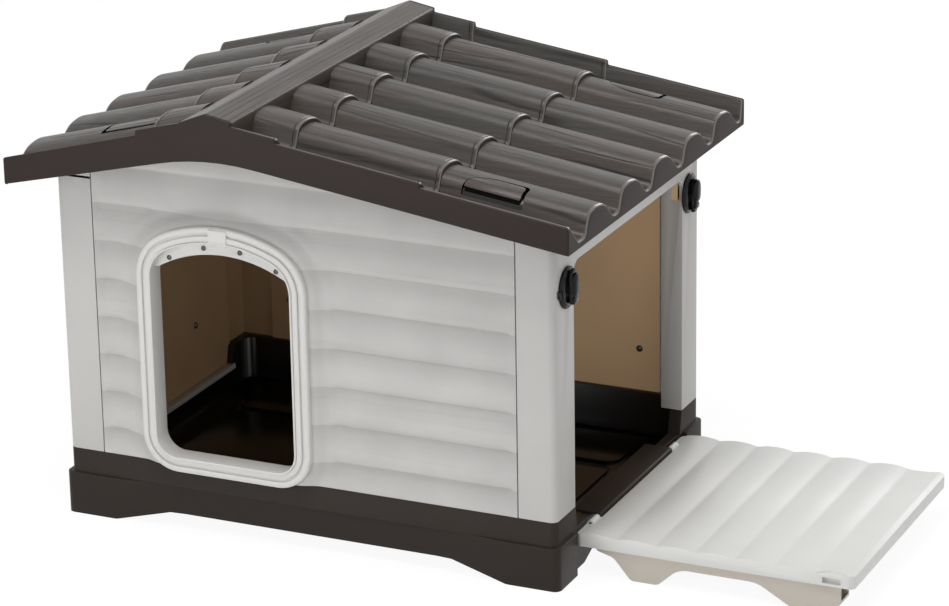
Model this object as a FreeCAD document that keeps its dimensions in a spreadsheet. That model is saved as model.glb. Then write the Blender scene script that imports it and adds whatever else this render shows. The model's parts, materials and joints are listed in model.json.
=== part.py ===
import FreeCAD, Part
import math
import os
import Sketcher

# A plastic dog house: a brown floor tray, pale siding walls between corner frames, a doorway in the
# front, a large side opening with a waved porch that folds up to close it, and a lift-off tiled roof.
#
# Sizes are millimetres. x runs to the right along the front, y to the back and z up from the ground.
# Inside this file x = 0 is the middle of the house. Each sub-part's Placement then moves it, so that
# the origin of the finished part is under the middle of everything, with the porch open.

document = FreeCAD.newDocument("dog_house")
sheet = document.addObject("Spreadsheet::Sheet", "Sizes")


# ---------------------------------------------------------------- sizes and formulas

class Dim:
    """A size that carries its value and its spreadsheet formula through arithmetic."""

    def __init__(self, value, formula=None):
        self.value = float(value)
        self.formula = formula or repr(self.value)

    def __float__(self):
        return self.value

    def _join(self, other, sign, value):
        return Dim(value, "(%s %s %s)" % (self.formula, sign, other.formula))

    def __add__(self, other):
        other = as_dim(other)
        return self._join(other, "+", self.value + other.value)

    def __sub__(self, other):
        other = as_dim(other)
        return self._join(other, "-", self.value - other.value)

    def __mul__(self, other):
        other = as_dim(other)
        return self._join(other, "*", self.value * other.value)

    def __truediv__(self, other):
        other = as_dim(other)
        return self._join(other, "/", self.value / other.value)

    def __radd__(self, other):
        return as_dim(other) + self

    def __rsub__(self, other):
        return as_dim(other) - self

    def __rmul__(self, other):
        return as_dim(other) * self

    def __neg__(self):
        return Dim(-self.value, "(-1 * %s)" % self.formula)


def as_dim(number):
    return number if isinstance(number, Dim) else Dim(number)


class SizeSheet:
    """The driving dimensions: each is one aliased cell of the spreadsheet."""

    def __init__(self):
        self.row = 0

    def section(self, title):
        self.row += 1
        sheet.set("A%d" % self.row, title)

    def add(self, alias, value, note):
        self.row += 1
        sheet.set("A%d" % self.row, note)
        sheet.set("B%d" % self.row, str(value))
        sheet.setAlias("B%d" % self.row, alias)
        setattr(self, alias, Dim(value, "Sizes." + alias))


# Sizes in millimetres, slopes as rise over run, and counts.
SIZES = [
    ("House",),
    ("house_width", 654, "over the posts, left to right"),
    ("house_depth", 456, "over the posts, front to back"),
    ("base_height", 85, "ground to the foot of the walls"),
    ("post_width", 48, "corner post, seen from the front"),
    ("post_depth", 57, "corner post, seen from the side"),
    ("corner_radius", 9, "upright outer edges of posts and base"),
    ("seam", 0.2, "joint between a siding wall and a post"),
    ("Base tray",),
    ("ledge_height", 54, "top of the proud lower band, and of the side sill"),
    ("ledge_out", 5, "how far the lower band stands proud at the corners"),
    ("ledge_round", 1.2, "rounding of the ledge over the lower band"),
    ("band_recess", 3, "how far the lower band is set back between the corners"),
    ("foot_length", 162, "from a corner to where the band is fully set back"),
    ("foot_side_length", 88, "foot along the sides"),
    ("foot_flat", 65, "flat sole and proud band along the front and back"),
    ("arch_height", 18, "ground clearance between the feet"),
    ("arch_run", 77, "length of the slope from the sole up to the arch"),
    ("side_arch_run", 50, "the same slope along the sides"),
    ("rim_width", 16, "top rim that the walls stand on"),
    ("floor_height", 30, "top of the floor"),
    ("floor_wall", 4, "thickness of the floor"),
    ("tray_wall", 3, "thickness of the tray's skirts"),
    ("pad_height", 4, "raised panels of the floor"),
    ("pad_side", 42, "floor beside the raised panels"),
    ("pad_end", 26, "floor before and behind them"),
    ("pad_split", 88, "channel between the panels, behind the middle"),
    ("pad_channel", 13, "width of that channel"),
    ("sill_slope", 7, "slanted ends of the sills"),
    ("Walls",),
    ("siding_wall", 4, "thickness of the siding"),
    ("board_pitch", 48.4, "height of one siding board"),
    ("board_depth", 4, "depth of the groove between boards"),
    ("groove_radius", 15, "round bottom of a groove"),
    ("first_groove", 33, "lowest groove above the base"),
    ("wall_flange", 15, "flange round the edge of a siding wall"),
    ("frame_wall", 4, "thickness of the side frames"),
    ("frame_top", 440, "top of the side frames"),
    ("portal_top", 390, "top of the side opening"),
    ("portal_radius", 15, "upper corners of the side opening"),
    ("reveal_depth", 28, "depth of the opening's inner edge"),
    ("slot_bottom", 361, "slot in the reveal beside a knob"),
    ("slot_height", 23, "height of that slot"),
    ("slot_width", 10, "width of that slot"),
    ("screw_head", 4.5, "radius of a wall screw's head"),
    ("screw_height", 141, "height of the wall screws"),
    ("screw_lift", 0.25, "wall screw off the crest of its board"),
    ("Roof",),
    ("roof_width", 734, "eave to eave"),
    ("roof_depth", 560, "front to back"),
    ("eave_under", 435, "lower edge of the eaves"),
    ("eave_deck", 443, "tile valleys at the eaves"),
    ("slope_right", 0.14, "rise of the right slope for each unit across"),
    ("slope_left", 0.264, "rise of the left slope for each unit across"),
    ("under_left", 0.235, "rise of the fascia's lower edge on the left"),
    ("apex_radius", 340, "arch of the fascia's lower edge under the ridge"),
    ("ridge_place", -92, "ridge, from the middle of the house"),
    ("ridge_top", 551.5, "top of the ridge cap"),
    ("ridge_deck", 519, "roof under the ridge"),
    ("cap_half", 35, "half width of the ridge cap"),
    ("cap_right", 545, "right edge of the ridge cap"),
    ("cap_left", 537, "left edge of the ridge cap"),
    ("cap_round", 9, "rounding along the ridge"),
    ("cap_lift", 1.1, "inner edge of the cap's foot off the slope below it"),
    ("roof_wall", 3, "thickness of the roof moulding"),
    ("rim_plate", 5, "thickness of the fascia"),
    ("rim_rise", 25, "rim above the tile valleys"),
    ("course_length", 183, "one course of tiles down the slope"),
    ("course_step", 6, "step where one course laps the next"),
    ("tile_count", 5, "barrels from front to back"),
    ("gutter_front", 48, "rim to the foot of the first barrel"),
    ("gutter_rear", 12, "foot of the last barrel to the rim"),
    ("valley_floor", 10, "flat between two barrels"),
    ("flank_run", 31, "width of a barrel's steep flank"),
    ("tile_peak", 38, "height of the corner that rounds into a barrel's crest"),
    ("crest_radius", 30, "rounding of a barrel's crest"),
    ("valley_radius", 7, "rounding at a barrel's foot"),
    ("roof_foot", 30, "square foot that rests on a post"),
    ("Hatch covers in the outer barrels",),
    ("hatch_length", 77, "down the slope"),
    ("hatch_width", 64, "front to back"),
    ("hatch_rim", 18, "from the roof's edge to the hatch"),
    ("hatch_right", 80, "right hatches, from the eave"),
    ("hatch_left", 104, "left hatches, from the eave"),
    ("hatch_radius", 40, "round side, towards the ridge"),
    ("hatch_depth", 4, "thickness of the cover"),
    ("hatch_floor", 2.5, "pocket floor under it"),
    ("hatch_line", 0.5, "joint along the round side"),
    ("hatch_gap", 3, "finger gap along the two straight sides"),
    ("Roof screws under the hatch covers",),
    ("screw_side", 203, "roof screw, from the middle of the side"),
    ("screw_in", 11, "screw inwards from the hatch's edge at the eave"),
    ("screw_shank", 2.2, "radius of the shank"),
    ("screw_cap", 4.2, "radius of the head"),
    ("screw_well", 4.6, "radius of the well that the head goes down"),
    ("screw_boss", 7.2, "radius of the roof's boss"),
    ("screw_seat", 6, "seat of the head above the post"),
    ("screw_grip", 18, "shank in the frame's boss"),
    ("tab_wall", 4, "tab of the frame that carries the boss"),
    ("tab_half", 6.8, "half width of that tab"),
    ("Doorway",),
    ("door_middle", -100, "from the middle of the house"),
    ("ring_half", 114, "half width of the outer ring"),
    ("ring_bottom", 80, "lowest edge of the ring"),
    ("ring_spring", 327.5, "height where the arch starts"),
    ("ring_low_radius", 46, "lower corners"),
    ("ring_high_radius", 62, "upper corners"),
    ("ring_top_radius", 189.5, "arch between the upper corners"),
    ("ring_width", 18, "ring seen from the front"),
    ("ring_front", 7, "how far the ring stands off the boss"),
    ("ring_groove_in", 8, "groove, from the ring's outer edge"),
    ("ring_groove", 3, "width and depth of the groove"),
    ("boss_height", 8, "boss round the door, off the wall"),
    ("boss_slope", 20, "width of its sloping flank"),
    ("jamb_wall", 2.5, "thickness of the jamb"),
    ("jamb_depth", 23, "depth of the jamb"),
    ("jamb_lip", 2, "how far the jamb's front ridge stands out of the ring"),
    ("strip_wall", 3, "thickness of the curtain strip"),
    ("strip_peak", 363.5, "lower edge of the strip at its middle"),
    ("strip_radius", 170, "arch of that edge"),
    ("strip_back", 18, "strip behind the front of the ring"),
    ("strip_screw", 2.8, "radius of a strip screw's head"),
    ("clip_width", 24, "clip at the top of the ring"),
    ("clip_height", 21, "the same, up the ring"),
    ("clip_wall", 4, "its thickness"),
    ("Porch",),
    ("porch_end", 674, "outer edge, from the middle of the house"),
    ("porch_width", 344, "front to back"),
    ("porch_top", 54, "top of the boards"),
    ("porch_skirt", 18, "depth of the skirt"),
    ("porch_wall", 3, "thickness of the panel"),
    ("porch_corner", 7, "upright corners of the panel"),
    ("hinge_out", 5, "hinge line off the posts' outer face"),
    ("hinge_drop", 2.5, "hinge line below the top of the boards"),
    ("hinge_pin", 2, "radius of a hinge pin"),
    ("hinge_play", 0.08, "radial play of a pin in its knuckle"),
    ("knuckle", 4, "radius of a hinge knuckle"),
    ("knuckle_length", 22, "length of a knuckle"),
    ("lip_length", 230, "lip on the sill, front to back"),
    ("lip_reach", 27, "lip inwards from the posts' outer face"),
    ("lip_wall", 2.5, "thickness of the lip"),
    ("lip_round", 2.4, "rounding of the lip's upper outer edge"),
    ("lip_gap", 1, "lip to the panel, at its ends"),
    ("nose_gap", 2, "lip's nose to the panel"),
    ("ear_gap", 1, "panel's ears to the base"),
    ("wave_pitch", 49.5, "one board of the porch"),
    ("wave_depth", 3, "groove between two boards"),
    ("wave_radius", 12, "round bottom of that groove"),
    ("rib_wall", 2.5, "ribs under the panel"),
    ("rib_count", 6, "number of these ribs"),
    ("rail_top", 40, "top of the foot rails, where the ribs rest on them"),
    ("rail_width", 30, "foot rail, front to back"),
    ("rail_wall", 2.5, "thickness of a foot rail"),
    ("rail_start", 352, "inner end of the foot rails"),
    ("rail_end", 670, "outer end of the foot rails"),
    ("rail_foot", 34, "length of a rail's inner foot"),
    ("rail_toe", 46, "length of a rail's outer foot"),
    ("rail_arch", 24, "height of the arch between the feet"),
    ("Turn knobs",),
    ("knob_side", 192, "knob, from the middle of the side"),
    ("knob_height", 366, "knob above the ground"),
    ("knob_radius", 26, "flange of the knob"),
    ("knob_flange", 6, "thickness of the flange"),
    ("knob_notch", 9, "notches in the flange's rim"),
    ("bar_half", 25, "half length of the locking bar"),
    ("bar_width", 17, "width of the bar"),
    ("bar_back", 11, "back of the bar, off the post"),
    ("bar_thick", 6, "thickness of the bar"),
    ("bar_crown", 3, "grip ridge on the bar"),
    ("stem_radius", 8, "stem through the post"),
    ("stem_play", 0.06, "radial play of the stem"),
    ("washer_radius", 13, "retaining washer behind the post"),
    ("washer_wall", 3, "its thickness"),
    ("lock_play", 1.0, "room round the bar in the panel's pocket"),
    ("fit_gap", 0.3, "gap between pieces that pass each other"),
]

s = SizeSheet()
for row in SIZES:
    if len(row) == 1:
        s.section(*row)
    else:
        s.add(*row)
document.recompute()

half_width = s.house_width / 2
half_depth = s.house_depth / 2
roof_half = s.roof_width / 2
roof_side = s.roof_depth / 2
portal_half = half_depth - s.post_depth
origin_x = (s.porch_end - roof_half) / 2
hinge_x = half_width + s.hinge_out
hinge_z = s.porch_top - s.hinge_drop


# ---------------------------------------------------------------- helpers

def bind(thing, name, size):
    """Set a property, and bind it to the spreadsheet."""
    thing.setExpression(name, as_dim(size).formula)


PIECES = []


def sub_part(thing, label):
    """Name a finished sub-part and shift it to the part's own origin."""
    thing.Label = label
    bind(thing, "Placement.Base.x", -origin_x)
    PIECES.append(thing)
    return thing


def shaped(label, shape):
    """A sub-part whose shape is worked out from the sheet's values by this script."""
    thing = document.addObject("Part::Feature", label + "_shape")
    thing.Shape = shape
    return sub_part(thing, label)


def block(x0, x1, y0, y1, z0, z1):
    """A box shape between two corners."""
    corner = FreeCAD.Vector(float(x0), float(y0), float(z0))
    return Part.makeBox(float(x1) - float(x0), float(y1) - float(y0), float(z1) - float(z0), corner)


def rod(radius, start, along, length):
    return Part.makeCylinder(float(radius), float(length), FreeCAD.Vector(*[float(c) for c in start]),
                             FreeCAD.Vector(*along))


def flat(corners):
    return [(float(a), float(b)) for a, b in corners]


def frame_point(plane, a, b, level):
    """A point of the plane "xy", "xz" or "yz" at a level on its third axis."""
    return {"xy": FreeCAD.Vector(a, b, level), "xz": FreeCAD.Vector(a, level, b),
            "yz": FreeCAD.Vector(level, a, b)}[plane]


def rounded_wire(corners, radii, plane, level):
    """A closed wire through corners, each rounded with its own radius where that isn't 0."""
    corners = flat(corners)
    count = len(corners)
    stops = []
    for i in range(count):
        before, here, after = corners[i - 1], corners[i], corners[(i + 1) % count]
        back = (here[0] - before[0], here[1] - before[1])
        ahead = (after[0] - here[0], after[1] - here[1])
        back_length, ahead_length = math.hypot(*back), math.hypot(*ahead)
        back = (back[0] / back_length, back[1] / back_length)
        ahead = (ahead[0] / ahead_length, ahead[1] / ahead_length)
        turn = math.acos(max(-1.0, min(1.0, back[0] * ahead[0] + back[1] * ahead[1])))
        radius = float(radii[i])
        if radius <= 0 or turn < 1e-6:
            stops.append((here, None, here))
            continue
        reach = radius * math.tan(turn / 2)
        bisector = (ahead[0] - back[0], ahead[1] - back[1])
        length = math.hypot(*bisector)
        depth = radius / math.cos(turn / 2) - radius
        middle = (here[0] + bisector[0] / length * depth, here[1] + bisector[1] / length * depth)
        stops.append(((here[0] - back[0] * reach, here[1] - back[1] * reach), middle,
                      (here[0] + ahead[0] * reach, here[1] + ahead[1] * reach)))
    edges = []
    for i, (start, middle, end) in enumerate(stops):
        if middle:
            bend = [frame_point(plane, a, b, level) for a, b in (start, middle, end)]
            edges.append(Part.Arc(*bend).toShape())
        following = stops[(i + 1) % count][0]
        if math.hypot(following[0] - end[0], following[1] - end[1]) > 1e-6:
            edges.append(Part.makeLine(frame_point(plane, *end, level),
                                       frame_point(plane, *following, level)))
    return Part.Wire(edges)


def prism(corners, plane, level, length, radii=None, lean=None):
    """Extrude a closed outline along its plane's third axis, or along a leaning direction."""
    radii = radii or [0] * len(corners)
    face = Part.Face(rounded_wire(corners, radii, plane, float(level)))
    return face.extrude(lean or frame_point(plane, 0, 0, float(length)))


def offset_corners(corners, distance):
    """Corners of a closed outline that runs anticlockwise, moved inwards by a distance."""
    corners = flat(corners)
    moved = []
    for i in range(len(corners)):
        before, here, after = corners[i - 1], corners[i], corners[(i + 1) % len(corners)]
        lines = []
        for start, end in ((before, here), (here, after)):
            length = math.hypot(end[0] - start[0], end[1] - start[1])
            along = ((end[0] - start[0]) / length, (end[1] - start[1]) / length)
            lines.append(((start[0] - along[1] * distance, start[1] + along[0] * distance), along))
        (p, d), (q, e) = lines
        cross = d[0] * e[1] - d[1] * e[0]
        if abs(cross) < 1e-9:
            moved.append(q)
            continue
        run = ((q[0] - p[0]) * e[1] - (q[1] - p[1]) * e[0]) / cross
        moved.append((p[0] + d[0] * run, p[1] + d[1] * run))
    return moved


def fuse(shapes):
    return shapes[0].multiFuse(shapes[1:]) if len(shapes) > 1 else shapes[0]


def new_body(name):
    return document.addObject("PartDesign::Body", name + "_body")


def sketch_of(body, name, role, outlines, lift=None):
    """A sketch of closed outlines, every corner held by distances bound to the sheet."""
    sketch = body.newObject("Sketcher::SketchObject", name)
    plane = next(feature for feature in body.Origin.OriginFeatures if feature.Role == role)
    sketch.AttachmentSupport = [(plane, "")]
    sketch.MapMode = "FlatFace"
    if lift is not None:
        bind(sketch, "AttachmentOffset.Base.z", lift)
    for corners in outlines:
        first = sketch.GeometryCount
        count = len(corners)
        points = [FreeCAD.Vector(a, b, 0) for a, b in flat(corners)]
        for i in range(count):
            sketch.addGeometry(Part.LineSegment(points[i], points[(i + 1) % count]), False)
        for i in range(count):
            following = first + (i + 1) % count
            sketch.addConstraint(Sketcher.Constraint("Coincident", first + i, 2, following, 1))
        for i, corner in enumerate(corners):
            for kind, size in (("DistanceX", corner[0]), ("DistanceY", corner[1])):
                size = as_dim(size)
                number = sketch.addConstraint(Sketcher.Constraint(kind, -1, 1, first + i, 1, size.value))
                bind(sketch, "Constraints[%d]" % number, size)
    return sketch


def box_corners(a0, a1, b0, b1):
    return [(a0, b0), (a1, b0), (a1, b1), (a0, b1)]


def pad(body, sketch, length, side="One side", back=False):
    feature = body.newObject("PartDesign::Pad", sketch.Name + "_pad")
    feature.Profile = sketch
    feature.SideType = side
    feature.Reversed = back
    bind(feature, "Length", length)
    document.recompute()
    return feature


def pocket(body, sketch, length, side="One side", back=False):
    """Cut a sketch into its body, and make sure that it took something away."""
    before = body.Shape.Volume
    feature = body.newObject("PartDesign::Pocket", sketch.Name + "_pocket")
    feature.Profile = sketch
    feature.SideType = side
    feature.Reversed = back
    bind(feature, "Length", length)
    document.recompute()
    if not body.Shape.Volume < before - 1e-3:
        raise ValueError("%s cut nothing from %s" % (feature.Name, body.Name))
    return feature


def round_edges(body, radius, wanted, name):
    """Fillet the edges of a body's tip that a test picks out."""
    tip = body.Tip
    names = ["Edge%d" % (i + 1) for i, edge in enumerate(tip.Shape.Edges) if wanted(edge)]
    if not names:
        raise ValueError("no edge to round in " + body.Name)
    feature = body.newObject("PartDesign::Fillet", name)
    feature.Base = (tip, names)
    bind(feature, "Radius", radius)
    document.recompute()
    return feature


def runs_along(edge, axis):
    """Whether an edge is straight and lies along the axis "x", "y" or "z"."""
    box = edge.BoundBox
    spans = {"x": box.XLength, "y": box.YLength, "z": box.ZLength}
    own = spans.pop(axis)
    return own > 1e-3 and max(spans.values()) < 1e-6


def near(value, wanted):
    return abs(value - float(wanted)) < 1e-3


# ---------------------------------------------------------------- base tray

def make_base_tray():
    """An upper band that carries the walls, a lower band proud at the corners, arches and an inner tub."""
    body = new_body("base_tray")
    far, deep = half_width + s.ledge_out, half_depth + s.ledge_out
    free = s.porch_width / 2 + s.ledge_out
    set_x, set_y = half_width - s.band_recess, half_depth - s.band_recess
    proud, level = far - s.foot_flat, far - s.foot_length
    quarter = [(level, set_y), (proud, deep), (far, deep), (far, free), (set_x, free)]
    outline = (quarter + [(x, -y) for x, y in quarter[::-1]] + [(-x, -y) for x, y in quarter]
               + [(-x, y) for x, y in quarter[::-1]])
    pad(body, sketch_of(body, "band_plan", "XY_Plane", [outline]), s.ledge_height)
    round_edges(body, s.corner_radius, lambda edge: runs_along(edge, "z")
                and near(abs(edge.CenterOfMass.x), far) and near(abs(edge.CenterOfMass.y), deep),
                "band_corners")
    round_edges(body, s.ledge_round, lambda edge: near(edge.CenterOfMass.z, s.ledge_height), "ledge_edge")
    rim = box_corners(-half_width, half_width, -half_depth, half_depth)
    rim_plan = sketch_of(body, "rim_plan", "XY_Plane", [rim], s.ledge_height)
    pad(body, rim_plan, s.base_height - s.ledge_height)
    round_edges(body, s.corner_radius, lambda edge: runs_along(edge, "z")
                and near(abs(edge.CenterOfMass.x), half_width)
                and near(abs(edge.CenterOfMass.y), half_depth), "rim_corners")
    top = proud - s.arch_run
    arch = [(-proud, -1), (-top, s.arch_height), (top, s.arch_height), (proud, -1)]
    pocket(body, sketch_of(body, "front_arch", "XZ_Plane", [arch]), 2 * deep + 2, "Symmetric")
    side_sole = half_depth - s.foot_side_length
    side_top = side_sole - s.side_arch_run
    arch = [(-side_sole, -1), (-side_top, s.arch_height), (side_top, s.arch_height), (side_sole, -1)]
    pocket(body, sketch_of(body, "side_arch", "YZ_Plane", [arch]), 2 * far + 2, "Symmetric")
    in_x, in_y = half_width - s.rim_width, half_depth - s.rim_width
    tub = box_corners(-in_x, in_x, -in_y, in_y)
    pocket(body, sketch_of(body, "tub", "XY_Plane", [tub], s.base_height), s.base_height - s.floor_height)
    round_edges(body, s.corner_radius * 2, lambda edge: runs_along(edge, "z")
                and near(abs(edge.CenterOfMass.x), in_x)
                and near(abs(edge.CenterOfMass.y), in_y), "tub_corners")
    sill = [(-portal_half, s.base_height), (s.sill_slope - portal_half, s.ledge_height),
            (portal_half - s.sill_slope, s.ledge_height), (portal_half, s.base_height)]
    pocket(body, sketch_of(body, "sills", "YZ_Plane", [sill]), 2 * far, "Symmetric")
    under = s.floor_height - s.floor_wall
    skin_x, skin_y = set_x - s.tray_wall, set_y - s.tray_wall
    skin = box_corners(-skin_x, skin_x, -skin_y, skin_y)
    pocket(body, sketch_of(body, "under_floor", "XY_Plane", [skin], -1), under + 1, back=True)
    wall_x, wall_y = in_x + s.tray_wall, in_y + s.tray_wall
    hollow = [skin, box_corners(-wall_x, wall_x, -wall_y, wall_y)]
    pocket(body, sketch_of(body, "skirt_hollow", "XY_Plane", hollow, -1),
           s.ledge_height - s.tray_wall + 1, back=True)
    pad_x, pad_y, half_gap = in_x - s.pad_side, in_y - s.pad_end, s.pad_channel / 2
    panels = [box_corners(-pad_x, pad_x, -pad_y, s.pad_split - half_gap),
              box_corners(-pad_x, pad_x, s.pad_split + half_gap, pad_y)]
    pad(body, sketch_of(body, "floor_panels", "XY_Plane", panels, s.floor_height), s.pad_height)
    round_edges(body, s.corner_radius * 2, lambda edge: runs_along(edge, "z")
                and near(edge.CenterOfMass.z, s.floor_height + s.pad_height / 2), "panel_corners")
    return sub_part(body, "base_tray")


# ---------------------------------------------------------------- siding walls

def wave_edges(start, count, pitch, depth, groove, across, wall, plane, level):
    """A closed wave section: boards bulge outwards between round grooves, with a constant wall."""
    pitch, depth, groove = float(pitch), float(depth), float(groove)
    lean = 2 * math.atan(2 * depth / pitch)

    def side(shift, ahead):
        points = []
        for i in range(count):
            low = start + i * pitch
            arcs = [((low, shift), (low + (groove + shift) * math.sin(lean / 2),
                     shift + (groove + shift) * (1 - math.cos(lean / 2))),
                     (low + (groove + shift) * math.sin(lean),
                      shift + (groove + shift) * (1 - math.cos(lean))))]
            first = arcs[0][2]
            last = (low + pitch - (first[0] - low), first[1])
            arcs.append((first, (low + pitch / 2, depth + shift), last))
            arcs.append((last, (2 * low + pitch - arcs[0][1][0], arcs[0][1][1]), (low + pitch, shift)))
            points += arcs
        return points if ahead else [tuple(reversed(arc)) for arc in reversed(points)]

    def place(point):
        along, out = point
        return across(along, out)

    outer = side(0.0, True)
    inner = side(-float(wall), False)
    edges = [Part.Arc(*[frame_point(plane, *place(p), level) for p in arc]).toShape() for arc in outer]
    edges.append(Part.makeLine(frame_point(plane, *place(outer[-1][2]), level),
                               frame_point(plane, *place(inner[0][0]), level)))
    edges += [Part.Arc(*[frame_point(plane, *place(p), level) for p in arc]).toShape() for arc in inner]
    edges.append(Part.makeLine(frame_point(plane, *place(inner[-1][2]), level),
                               frame_point(plane, *place(outer[0][0]), level)))
    return Part.Wire(edges)


def siding_sheet(half_length, height):
    """A siding sheet that faces the front, its boards' crests on the front of the posts."""
    start = float(s.base_height + s.first_groove - s.board_pitch)
    count = math.ceil((float(height) - start) / float(s.board_pitch))
    back = float(s.board_depth) - float(half_depth)
    wire = wave_edges(start, count, s.board_pitch, s.board_depth, s.groove_radius,
                      lambda along, out: (back - out, along), s.siding_wall, "yz", -float(half_length))
    return Part.Face(wire).extrude(FreeCAD.Vector(2 * float(half_length), 0, 0))


def under_line(x):
    """The fascia's lower edge above a place along the front."""
    x = float(x)
    right = float(s.eave_under) + float(s.slope_right) * (float(roof_half) - x)
    left = float(s.eave_under) + float(s.under_left) * (float(roof_half) + x)
    return min(right, left)


def under_apex():
    """Where the two straight lines of the fascia's lower edge would meet."""
    left, right = float(s.under_left), float(s.slope_right)
    x = float(roof_half) * (right - left) / (right + left)
    return x, under_line(x)


def gable_corners(inset=0.0, tuck=0.5):
    """The outline of a gable wall, its top just above the fascia's lower edge."""
    edge = float(half_width - s.post_width - s.seam) - inset
    low = float(s.base_height) + inset
    apex = under_apex()
    return [(-edge, low), (edge, low), (edge, under_line(edge) + tuck - inset),
            (apex[0], apex[1] + tuck - inset), (-edge, under_line(-edge) + tuck - inset)]


def gable_wall():
    """A front-facing siding wall with its flange, still without a doorway."""
    front = -float(half_depth)
    sheet_shape = siding_sheet(half_width - s.post_width - s.seam, under_apex()[1] + 1)
    clip = prism(gable_corners(), "xz", front - 5, 60)
    wall = sheet_shape.common(clip)
    flange_front = front + float(s.board_depth) / 2
    ring = prism(gable_corners(), "xz", flange_front, s.wall_flange).cut(
        prism(gable_corners(float(s.siding_wall)), "xz", flange_front - 1, s.wall_flange + 2))
    return wall.fuse(ring)


def arch_wire(grow, level):
    """The doorway's outline, moved outwards by grow, at a depth y."""
    grow = float(grow)
    half = float(s.ring_half) + grow
    middle, spring = float(s.door_middle), float(s.ring_spring)
    low, high = float(s.ring_low_radius) + grow, float(s.ring_high_radius) + grow
    top = float(s.ring_top_radius) + grow
    bottom = float(s.ring_bottom) - grow
    corner_x = half - high
    corner_drop = math.sqrt((top - high) ** 2 - corner_x ** 2)
    centre_z = spring - corner_drop
    swing = math.atan2(corner_x, corner_drop)

    def at(x, z):
        return FreeCAD.Vector(middle + x, level, z)

    def turned(side, angle, radius, x, z):
        return at(side * (x + radius * math.sin(angle)), z + radius * math.cos(angle))

    slant = math.sin(math.pi / 4)
    low_x, low_z = half - low, bottom + low
    reach_x, reach_z = low_x + low * slant, low_z - low * slant
    half_turn = (math.pi / 2 + swing) / 2
    shoulders = [[turned(side, angle, high, corner_x, spring) for angle in (half_turn, swing)]
                 for side in (1, -1)]
    edges = [Part.makeLine(at(-low_x, bottom), at(low_x, bottom)),
             Part.Arc(at(low_x, bottom), at(reach_x, reach_z), at(half, low_z)).toShape(),
             Part.makeLine(at(half, low_z), at(half, spring)),
             Part.Arc(at(half, spring), *shoulders[0]).toShape(),
             Part.Arc(shoulders[0][1], at(0, centre_z + top), shoulders[1][1]).toShape(),
             Part.Arc(shoulders[1][1], shoulders[1][0], at(-half, spring)).toShape(),
             Part.makeLine(at(-half, spring), at(-half, low_z)),
             Part.Arc(at(-half, low_z), at(-reach_x, reach_z), at(-low_x, bottom)).toShape()]
    return Part.Wire(edges)


def arch_prism(grow, front, depth):
    """The doorway's outline as a solid from a front plane backwards."""
    return Part.Face(arch_wire(grow, float(front))).extrude(FreeCAD.Vector(0, float(depth), 0))


boss_face = -(half_depth + s.boss_height)
door_hole = -(s.ring_width - s.jamb_wall)


def make_front_wall():
    wall = gable_wall()
    root = -half_depth + s.board_depth
    wide = arch_wire(s.boss_slope, float(root))
    narrow = arch_wire(0, float(boss_face))
    boss = Part.makeLoft([wide, narrow], True, True)
    over_base = block(-roof_half, roof_half, boss_face - 1, 0, 0, s.base_height)
    ring_foot = arch_prism(0, boss_face, s.boss_height - s.fit_gap).common(over_base)
    wall = wall.fuse(boss.cut(over_base)).fuse(ring_foot).cut(arch_prism(door_hole, boss_face - 1, 60))
    return shaped("front_wall", wall.removeSplitter())


def make_rear_wall():
    wall = gable_wall().mirror(FreeCAD.Vector(0, 0, 0), FreeCAD.Vector(0, 1, 0))
    return shaped("rear_wall", wall.removeSplitter())


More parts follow.
